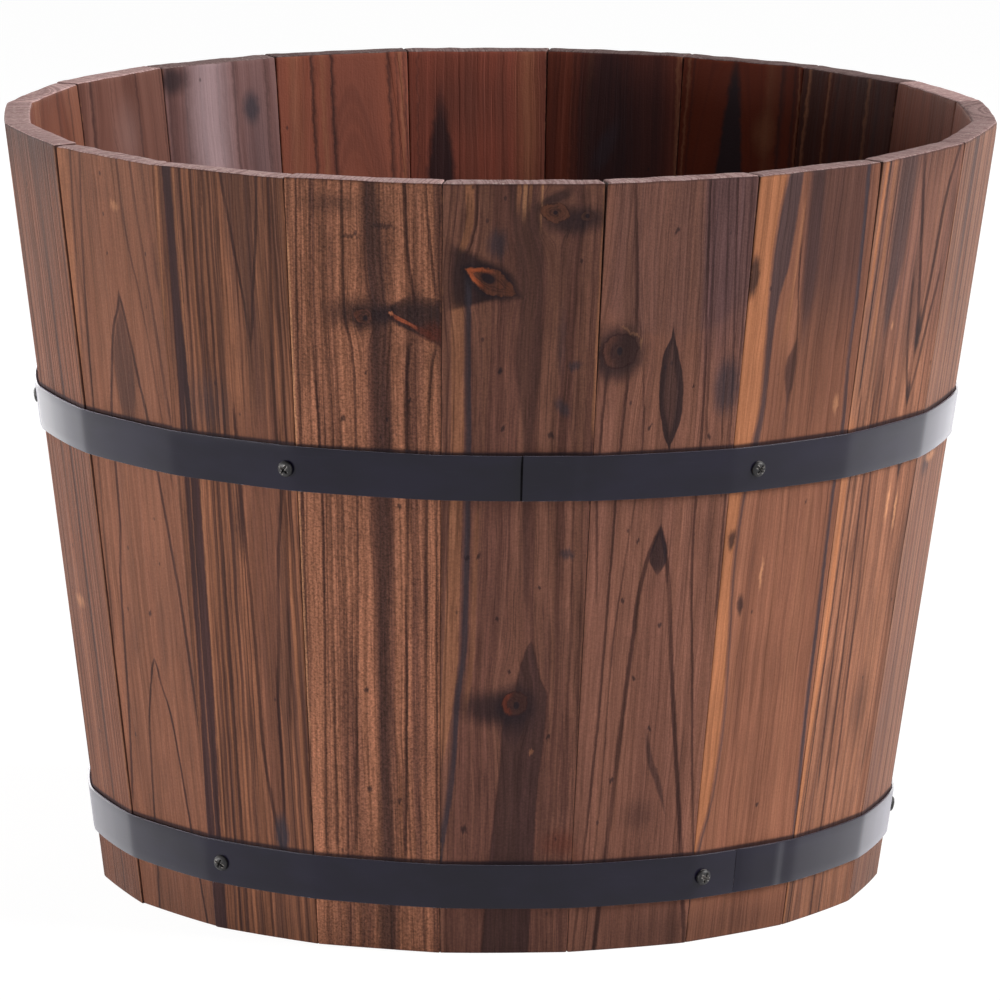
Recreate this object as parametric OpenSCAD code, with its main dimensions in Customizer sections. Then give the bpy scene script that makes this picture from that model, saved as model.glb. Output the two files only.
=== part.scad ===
// Wooden barrel planter: a tapered tub of flat bevelled staves, held by two steel hoops.
// Millimetres. The origin is the centre of the base, +Z is up and -Y is the front.
// Angles around the tub start at the front and grow towards +X.

/* [Tub] */
// Outside diameter of the rim, across the corners
top_d = 447; // [380:1:520]
// Outside diameter of the base, across the corners
base_d = 354; // [300:1:400]
// Height of the staves
height = 345; // [280:1:420]
// Number of staves
stave_count = 20; // [16:1:24]
// Thickness of a stave
stave_t = 12; // [10:0.5:16]
// Gap between neighbouring staves
stave_gap = 0.3; // [0.2:0.05:0.8]
// Width of the eased edge along a stave's outside corners
arris = 0.8; // [0.4:0.1:1.6]
// Turn of the first stave from the front
first_stave_turn = 2.5; // [0:0.1:17]

/* [Hoops] */
// Width of the steel strip
hoop_w = 20; // [14:1:28]
// Thickness of the steel strip
hoop_t = 0.9; // [0.6:0.1:1.6]
// Gap between a hoop and the staves
hoop_seat = 0.1; // [0.05:0.05:0.2]
// Height of the upper hoop's middle
upper_hoop_z = 215; // [150:1:250]
// Height of the lower hoop's middle
lower_hoop_z = 30.5; // [26:0.5:60]
// Length of the lap where a hoop's ends overlap
lap_len = 26; // [15:1:32]
// Angle of the upper hoop's visible end
upper_lap_angle = 3; // [-10:0.1:20]
// Angle of the lower hoop's visible end
lower_lap_angle = 36.5; // [20:0.1:50]

/* [Hoop screws] */
// Diameter of a screw's pan head
head_d = 7; // [6:0.1:8]
// Height of a screw's pan head
head_h = 2.4; // [1.8:0.1:3]
// Diameter of a screw's shank
shank_d = 2.8; // [2.2:0.1:3.2]
// Length of a screw's point
point_len = 3; // [2:0.5:4]
// Wood left between a screw's point and the inside of the tub
screw_cover = 1.2; // [0.8:0.1:3]
// Least distance from a screw's centre to the edge of its stave
screw_edge = 4; // [3.5:0.5:6]
// Width of a cross recess's slot
recess_w = 1.1; // [0.8:0.1:1.4]
// Length of a cross recess's slot
recess_len = 3.8; // [3:0.1:4.4]
// Depth of a cross recess
recess_depth = 1.3; // [0.8:0.1:1.6]

/* [Bottom] */
// Height of the bottom boards' underside
bottom_z = 18; // [14:0.5:24]
// Thickness of the bottom boards
bottom_t = 12; // [10:0.5:16]
// Number of bottom boards, an odd number
board_count = 5; // [3:2:7]
// Gap between neighbouring bottom boards
board_gap = 1.5; // [0.5:0.1:3]
// Gap between the bottom boards and the staves
bottom_fit = 0.3; // [0.2:0.1:1]
// Diameter of a drain hole
drain_d = 12; // [8:0.5:16]
// Distance between a cleat and the drain hole beside it
drain_side = 19; // [8:0.5:24]
// Distance from the middle of the tub to the middle of a cleat
cleat_x = 70; // [50:1:90]
// Width of a cleat
cleat_w = 30; // [20:1:40]
// Thickness of a cleat
cleat_t = 10; // [8:0.5:12]
// Gap between a cleat's corners and the staves
cleat_fit = 2; // [1:0.5:6]

/* [Bottom fasteners] */
// Diameter of a cleat screw's flat head
flat_head_d = 7; // [6:0.1:8]
// Height of a cleat screw's flat head
flat_head_h = 2.4; // [2:0.1:3]
// Wood left over a cleat screw's point
cleat_screw_cover = 3; // [2:0.5:5]
// Diameter of a bottom nail
nail_d = 1.8; // [1.4:0.1:2.4]
// Diameter of a bottom nail's head
nail_head_d = 3.4; // [2.8:0.1:4]
// Thickness of a bottom nail's head
nail_head_h = 0.8; // [0.6:0.1:1.2]
// Depth of a bottom nail's head below the face of its stave
nail_sink = 0.6; // [0.5:0.1:1.5]
// Length of a bottom nail in the bottom board
nail_grip = 18; // [12:1:24]
// Clearance round a shank in its hole
hole_clear = 0.05; // [0.05:0.05:0.2]

/* [Hidden] */
$fn = 32;

wood_colour = "#7a4b36";
bottom_colour = "#8a6046";
steel_colour = "#2b2b30";
nail_colour = "#8d8f94";

// The screws are driven by hand, so their spacing is uneven.
upper_screw_angles = [-25.2, 33.1, 95, 155, 215, 272.5];
lower_screw_angles = [-39.9, 30.9, 88, 146, 204, 262];

// Overshoot that carries a cut clear through a face
cut = 1;
stave_step = 360 / stave_count;
half_step = stave_step / 2;
// Reach of a sector, well past the rim
far = top_d;

// Distance from the axis to the outside corners and to the outside faces at height z
function corner_r(z) = (base_d + (top_d - base_d) * z / height) / 2;
function face_r(z) = corner_r(z) * cos(half_step);
wall_tilt = atan((face_r(height) - face_r(0)) / height);
corner_tilt = atan((corner_r(height) - corner_r(0)) / height);
// Thickness of the tilted wall, measured level
wall_level = stave_t / cos(wall_tilt);
function inner_r(z) = face_r(z) - wall_level;

function stave_name(i) = str("stave_", i < 10 ? "0" : "", i);
function stave_angle(i) = first_stave_turn + (i - 1) * stave_step;
function nearest_stave_angle(a) =
    first_stave_turn + round((a - first_stave_turn) / stave_step) * stave_step;
function same_turn(a, b) = cos(a - b) > cos(stave_step / 4);
// Sideways place of a screw on its stave, kept clear of the stave's edges
function screw_offset(a, z) =
    let (limit = face_r(z) * tan(half_step) - screw_edge,
         offset = face_r(z) * tan(a - nearest_stave_angle(a)))
    max(-limit, min(limit, offset));

// Length of a hoop screw under its head
screw_len = hoop_seat + hoop_t + stave_t - screw_cover;
nail_z = bottom_z + bottom_t / 2;
nail_len = wall_level - nail_sink + bottom_fit + nail_grip;
board_r = inner_r(bottom_z + bottom_t) - bottom_fit;
board_w = (2 * board_r - (board_count - 1) * board_gap) / board_count;
cleat_z = bottom_z - cleat_t;
cleat_outer_x = cleat_x + cleat_w / 2;
cleat_half_len = sqrt(pow(inner_r(cleat_z) - cleat_fit, 2) - pow(cleat_outer_x, 2));
cleat_screw_len = cleat_t + bottom_t - cleat_screw_cover;
drain_x = cleat_outer_x + drain_side + drain_d / 2;

function board_y(k) = -board_r + (k - 1) * (board_w + board_gap);
// Middle of the stretch where board k crosses a cleat
function cross_y(k) =
    (max(board_y(k), -cleat_half_len) + min(board_y(k) + board_w, cleat_half_len)) / 2;

// Places its children on the face of the stave at angle a, their +Z pointing outwards
module on_stave_face(a, z, offset = 0)
    rotate([0, 0, a])
    translate([0, -face_r(0), 0])
    rotate([wall_tilt, 0, 0])
    translate([offset, 0, z / cos(wall_tilt)])
    rotate([90, 0, 0])
    children();

module at_hoop_screw(a, z)
    on_stave_face(nearest_stave_angle(a), z, screw_offset(a, z)) children();

module at_nails()
    for (i = [1:stave_count])
        rotate([0, 0, stave_angle(i)])
        translate([0, -face_r(nail_z) + nail_sink, nail_z])
        rotate([90, 0, 0])
        children();

module at_cleat_screws()
    for (x = [-cleat_x, cleat_x], k = [1:board_count])
        translate([x, cross_y(k), cleat_z])
        children();

// Wedge of the tub between two angles, set back by half of the gap on each side
module sector(from, to, setback = 0)
    rotate([0, 0, (from + to) / 2])
    translate([0, -setback / sin((to - from) / 2), -cut])
    linear_extrude(height + 2 * cut)
    polygon([
        [0, 0],
        [far * sin((from - to) / 2), -far * cos((from - to) / 2)],
        [far * sin((to - from) / 2), -far * cos((to - from) / 2)]]);

// The tub's outline at a distance out from the staves, between two heights
module tapered_ring_solid(z0, z1, out) {
    level = out / cos(wall_tilt);
    r0 = (face_r(z0) + level) / cos(half_step);
    translate([0, 0, z0])
    rotate([0, 0, first_stave_turn])
    linear_extrude(z1 - z0, scale = (face_r(z1) + level) / (face_r(z0) + level))
    polygon([for (i = [0:stave_count - 1])
        r0 * [sin((i + 0.5) * stave_step), -cos((i + 0.5) * stave_step)]]);
}

module band(z, inside, outside) {
    half_w = hoop_w / 2 * cos(wall_tilt);
    difference() {
        tapered_ring_solid(z - half_w, z + half_w, outside);
        tapered_ring_solid(z - half_w - cut, z + half_w + cut, inside);
    }
}

module cross_recess()
    for (turn = [0, 90])
        rotate([0, 0, turn])
        translate([-recess_len / 2, -recess_w / 2, -recess_depth])
        cube([recess_len, recess_w, recess_depth + cut]);

// Shank that hangs down from z = 0, with its point at the bottom
module pointed_shank(d, length) {
    translate([0, 0, -length + point_len])
    cylinder(h = length - point_len, d = d);
    translate([0, 0, -length])
    cylinder(h = point_len, d1 = d / 5, d2 = d);
}

module shank_hole(d, depth)
    translate([0, 0, -depth])
    cylinder(h = depth + cut, d = d + 2 * hole_clear);

module pan_screw() {
    rim_h = head_h * 0.35;
    dome_h = head_h - rim_h;
    difference() {
        rotate_extrude()
        polygon(concat(
            [[0, 0], [head_d / 2, 0]],
            [for (a = [0:15:75]) [head_d / 2 * pow(cos(a), 0.7), rim_h + dome_h * sin(a)]],
            [[0, head_h]]));
        translate([0, 0, head_h]) cross_recess();
    }
    pointed_shank(shank_d, screw_len);
}

// Screw driven upwards, its flat head level with z = 0
module flat_screw() {
    difference() {
        cylinder(h = flat_head_h, d1 = flat_head_d, d2 = shank_d);
        mirror([0, 0, 1]) cross_recess();
    }
    mirror([0, 0, 1]) pointed_shank(shank_d, cleat_screw_len);
}

module flat_screw_hole() {
    wide = 2 * hole_clear;
    translate([0, 0, -cut])
    cylinder(h = cleat_screw_len + cut + hole_clear, d = shank_d + wide);
    cylinder(h = flat_head_h, d1 = flat_head_d + wide, d2 = shank_d + wide);
    translate([0, 0, -cut])
    cylinder(h = cut, d = flat_head_d + wide);
}

module nail() {
    translate([0, 0, -nail_head_h])
    cylinder(h = nail_head_h, d = nail_head_d);
    pointed_shank(nail_d, nail_len);
}

module nail_hole() {
    shank_hole(nail_d, nail_len + hole_clear);
    translate([0, 0, -nail_head_h])
    cylinder(h = nail_head_h + nail_sink + cut, d = nail_head_d + 2 * hole_clear);
}

// Square bar along an outside corner that eases the edge
module arris_cut(side)
    rotate([0, 0, side * half_step])
    translate([0, -corner_r(0), 0])
    rotate([corner_tilt, 0, 0])
    rotate([0, 0, 45])
    translate([-arris / 2, -arris / 2, -height / 2])
    cube([arris, arris, 2 * height]);

module stave(i) {
    turn = stave_angle(i);
    color(wood_colour)
    difference() {
        intersection() {
            rotate([0, 0, turn])
            translate([0, -face_r(0), 0])
            rotate([wall_tilt, 0, 0])
            translate([-far / 2, 0, -height / 2])
            cube([far, stave_t, 2 * height]);
            sector(turn - half_step, turn + half_step, stave_gap / 2);
            translate([-far, -far, 0]) cube([2 * far, 2 * far, height]);
        }
        rotate([0, 0, turn]) for (side = [-1, 1]) arris_cut(side);
        rotate([0, 0, turn])
        translate([0, -face_r(nail_z) + nail_sink, nail_z])
        rotate([90, 0, 0])
        nail_hole();
        for (a = upper_screw_angles)
            if (same_turn(nearest_stave_angle(a), turn))
                at_hoop_screw(a, upper_hoop_z) shank_hole(shank_d, stave_t - screw_cover);
        for (a = lower_screw_angles)
            if (same_turn(nearest_stave_angle(a), turn))
                at_hoop_screw(a, lower_hoop_z) shank_hole(shank_d, stave_t - screw_cover);
    }
}

module hoop(z, screw_angles, lap_angle) {
    lap_turn = lap_len / face_r(z) * 180 / PI;
    color(steel_colour)
    difference() {
        union() {
            band(z, hoop_seat, hoop_seat + hoop_t);
            intersection() {
                band(z, hoop_seat + hoop_t / 2, hoop_seat + 2 * hoop_t);
                sector(lap_angle, lap_angle + lap_turn);
            }
        }
        for (a = screw_angles)
            at_hoop_screw(a, z)
            translate([0, 0, -cut])
            cylinder(h = hoop_t + 2 * cut + hoop_seat, d = shank_d + 2 * hole_clear);
    }
}

module hoop_screws(z, screw_angles)
    color(steel_colour)
    for (a = screw_angles)
        at_hoop_screw(a, z)
        translate([0, 0, hoop_seat + hoop_t])
        pan_screw();

module bottom_board(k)
    color(bottom_colour)
    difference() {
        intersection() {
            translate([0, 0, bottom_z])
            cylinder(
                h = bottom_t,
                r1 = inner_r(bottom_z) - bottom_fit,
                r2 = inner_r(bottom_z + bottom_t) - bottom_fit);
            translate([-far, board_y(k), bottom_z - cut])
            cube([2 * far, board_w, bottom_t + 2 * cut]);
        }
        if (k == (board_count + 1) / 2)
            for (x = [-drain_x, 0, drain_x])
                translate([x, 0, bottom_z - cut])
                cylinder(h = bottom_t + 2 * cut, d = drain_d);
        at_cleat_screws() flat_screw_hole();
        at_nails() nail_hole();
    }

module cleat(side)
    color(bottom_colour)
    difference() {
        translate([side * cleat_x - cleat_w / 2, -cleat_half_len, cleat_z])
        cube([cleat_w, 2 * cleat_half_len, cleat_t]);
        at_cleat_screws() flat_screw_hole();
    }

module cleat_screws()
    color(nail_colour)
    at_cleat_screws() flat_screw();

module bottom_nails()
    color(nail_colour)
    at_nails() nail();

for (i = [1:stave_count])
    stave(i);
hoop(upper_hoop_z, upper_screw_angles, upper_lap_angle);  // upper_hoop
hoop(lower_hoop_z, lower_screw_angles, lower_lap_angle);  // lower_hoop
hoop_screws(upper_hoop_z, upper_screw_angles);  // upper_hoop_screws
hoop_screws(lower_hoop_z, lower_screw_angles);  // lower_hoop_screws
for (k = [1:board_count])
    bottom_board(k);
cleat(-1);  // cleat_left
cleat(1);  // cleat_right
cleat_screws();
bottom_nails();
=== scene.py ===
"""Wooden barrel planter: the looks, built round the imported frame.

Lengths are in mm until a mesh is made. Angles go round the tub from its front and grow towards +X.
"""

import math
from dataclasses import dataclass, field

import bmesh
import bpy
import numpy as np
from mathutils import Matrix, Vector


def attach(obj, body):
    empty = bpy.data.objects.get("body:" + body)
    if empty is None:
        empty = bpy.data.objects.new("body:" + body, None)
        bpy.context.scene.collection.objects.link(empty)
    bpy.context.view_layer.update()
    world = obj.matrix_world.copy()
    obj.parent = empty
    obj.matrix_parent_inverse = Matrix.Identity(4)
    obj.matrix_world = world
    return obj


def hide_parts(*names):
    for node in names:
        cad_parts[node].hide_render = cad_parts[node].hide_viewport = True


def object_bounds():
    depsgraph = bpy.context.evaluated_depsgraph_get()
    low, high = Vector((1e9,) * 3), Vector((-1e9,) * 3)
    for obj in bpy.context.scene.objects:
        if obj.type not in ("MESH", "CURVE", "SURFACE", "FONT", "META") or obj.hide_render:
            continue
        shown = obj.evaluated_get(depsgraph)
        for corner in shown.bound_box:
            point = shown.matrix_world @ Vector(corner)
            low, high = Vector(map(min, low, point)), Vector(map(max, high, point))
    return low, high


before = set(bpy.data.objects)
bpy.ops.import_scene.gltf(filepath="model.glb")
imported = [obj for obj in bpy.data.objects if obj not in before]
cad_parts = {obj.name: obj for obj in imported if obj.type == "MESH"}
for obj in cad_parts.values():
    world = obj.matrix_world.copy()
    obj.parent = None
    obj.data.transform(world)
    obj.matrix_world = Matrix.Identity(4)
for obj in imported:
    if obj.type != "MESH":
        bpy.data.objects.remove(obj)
cad_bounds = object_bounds()

MM = 0.001

# Sizes and places, as in the CAD source: mm, and degrees round the tub
RIM_D = 447.0
BASE_D = 354.0
HEIGHT = 345.0
STAVES = 20
STAVE_T = 12.0
FIRST_TURN = 2.5
HOOP_W = 20.0
HOOP_T = 0.9
HOOP_SEAT = 0.1
UPPER_HOOP_Z = 215.0
LOWER_HOOP_Z = 30.5
LAP_LEN = 26.0
UPPER_LAP_ANGLE = 3.0
LOWER_LAP_ANGLE = 36.5
UPPER_SCREWS = (-25.2, 33.1, 95, 155, 215, 272.5)
LOWER_SCREWS = (-39.9, 30.9, 88, 146, 204, 262)
SCREW_EDGE = 4.0
HEAD_R = 3.5
HEAD_H = 2.4
SHANK_R = 1.4
SCREW_LEN = HOOP_SEAT + HOOP_T + STAVE_T - 1.2
BOTTOM_BOARDS = 5

# The tub is hand-made: its staves lean round it a little, it leans to one side by a share of its
# height, and its hoops sit a little higher on the left than on the right
TWIST = math.radians(0.79)
LEAN = 0.008
LEAN_FROM = 245.0
UPPER_SEAT = (0.2, 1.6)
LOWER_SEAT = (0.5, 1.0)

# Two staves' sides stand this far apart, which is tighter than in the CAD source
STAVE_GAP = 0.04

# Each board is a little crowned outside and hollow inside, as shares of a fully round face
CROWN_SHARE = 0.34
HOLLOW_SHARE = 0.2

STEP = 360 / STAVES
HALF = math.radians(STEP / 2)


def face_r(z):
    """Distance from the axis to a stave's outside face, at height z."""
    return (BASE_D + (RIM_D - BASE_D) * z / HEIGHT) / 2 * math.cos(HALF)


TILT = math.atan((face_r(HEIGHT) - face_r(0)) / HEIGHT)
LEVEL = 1 / math.cos(TILT)


def stave_turn(number):
    """Angle of a stave's middle, in degrees."""
    return FIRST_TURN + (number - 1) * STEP


def hoop_height(z_mid, seat, theta):
    """Height of a hoop's middle at an angle: seat is its lift and how far its left side is higher."""
    return z_mid + seat[0] - seat[1] * np.sin(np.radians(theta))


def settle(x, y, z):
    """Moves points of the straight tub to where the leaning staves have them, inside the CAD box."""
    turn = TWIST * (z / HEIGHT - 0.5)
    moved_x = x * np.cos(turn) - y * np.sin(turn) + LEAN * (z - LEAN_FROM)
    moved_y = x * np.sin(turn) + y * np.cos(turn)
    low, high = (np.array(corner) / MM for corner in cad_bounds)
    return np.stack((
        np.clip(moved_x, low[0], high[0]), np.clip(moved_y, low[1], high[1]), z), -1)


def srgb(red, green, blue):
    """Linear colour with alpha, from 0-255 display values."""
    def linear(c):
        c = c / 255
        return c / 12.92 if c <= 0.04045 else ((c + 0.055) / 1.055) ** 2.4
    return (linear(red), linear(green), linear(blue), 1.0)


# ---------------------------------------------------------------- wood colours
# How light each stave's sawn end is at the rim, where it isn't RIM_TONE
RIM_TONES = {1: 1.0, 2: 1.0, 3: 0.8, 4: 0.8, 5: 0.8, 6: 0.76, 8: 0.46, 9: 0.44, 10: 0.4,
             11: 0.6, 12: 0.46, 13: 0.62, 14: 1.5, 15: 1.6}
RIM_TONE = 1.3
MID = srgb(120, 82, 68)
LIGHT = srgb(158, 110, 84)
ORANGE = srgb(178, 120, 86)
DARK = srgb(50, 31, 32)
CHAR = srgb(38, 30, 36)
SCORCH = srgb(68, 48, 46)
SLATE = srgb(56, 52, 62)
RUST = srgb(98, 48, 36)
PALE = srgb(206, 152, 116)
END_GRAIN = srgb(176, 146, 144)
END_DARK = srgb(118, 88, 86)
END_LIGHT = srgb(208, 186, 180)

# Where the rings of a plainly striped board are centred, across the board
FAR_CENTRE = -60.0


# ---------------------------------------------------------------- what is drawn on a board
# On a board, u is the place across it from its middle, v the height, and w the depth under its face


@dataclass
class Stroke:
    """A single grain line, through (v, u) points up the board; width is half of its own."""
    path: tuple
    width: float = 0.7
    colour: tuple = DARK
    strength: float = 0.75


@dataclass
class Band:
    """A flame or stain between two wandering edges: rows of (v, left, right), outlined or not."""
    rows: tuple
    colour: tuple = SCORCH
    strength: float = 0.7
    soft: float = 1.0
    outline: float = 0.0
    line: float = 0.9
    fade: float = 6.0


@dataclass
class Patch:
    """A stain or fleck: an ellipse at u across and v up the board."""
    u: float
    v: float
    ru: float
    rv: float
    colour: tuple = DARK
    strength: float = 0.8
    soft: float = 0.35
    tilt: float = 0.0
    taper: float = 0.0


@dataclass
class Knot:
    """A knot that the grain flows round: its body, its heart, off the middle, and a dark halo."""
    u: float
    v: float
    ru: float
    rv: float
    tilt: float = 0.0
    eye: tuple = RUST
    body: tuple = RUST
    heart: float = 0.0
    heart_size: float = 0.22
    halo: float = 1.5
    halo_strength: float = 0.7
    flow: float = 0.85
    taper: float = 0.0
    pointed: bool = False


@dataclass
class Inside:
    """The inner face: its two tones, and its soft dark and light lines (u, half-width, strength)."""
    mid: tuple = srgb(100, 58, 46)
    light: tuple = srgb(116, 68, 54)
    lines: tuple = ()
    lights: tuple = ()
    patches: tuple = ()


@dataclass
class Stave:
    """How one stave looks: its wood, what is drawn on it and how it is cut."""
    mid: tuple = MID
    light: tuple = LIGHT
    # Where its rings are centred: across the board, under its face, and that depth's rise with height
    centre: float = FAR_CENTRE
    depth: float = 0.0
    depth_rise: float = 0.0
    # How far the grain wanders, how wide its rings are, and how strong each kind of grain is
    wobble: float = 2.0
    period: float = 4.2
    rings: float = 0.4
    stripes: float = 0.5
    broad: float = 0.6
    nap: float = 0.5
    smoke: float = 0.25
    grain: float = 1.0
    # Lines along the rings, as (ring radius, half-width, strength), and single marks
    lines: list = field(default_factory=list)
    lights: list = field(default_factory=list)
    strokes: list = field(default_factory=list)
    bands: list = field(default_factory=list)
    patches: list = field(default_factory=list)
    knots: list = field(default_factory=list)
    inside: Inside = field(default_factory=Inside)
    # How bright its arrises are, how far its face and its rim stand back and its inside is cut away,
    # and how far the joint on its right opens from a height up
    glint_left: float = 0.0
    glint_right: float = 0.0
    recess: float = 0.15
    drop: float = 0.3
    thin: float = 0.2
    gap_right: float = 0.0
    gap_from: float = 240.0


def straight(*lines):
    """Lines given by their place across the board, as distances from a far ring centre."""
    return [(u - FAR_CENTRE, width, strength) for u, width, strength in lines]


def spots(colour, *places):
    """Small flecks: (u, v, radius) each, a little taller than wide."""
    return [Patch(u, v, r, 1.25 * r, colour, 0.75, 0.5) for u, v, r in places]


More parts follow.
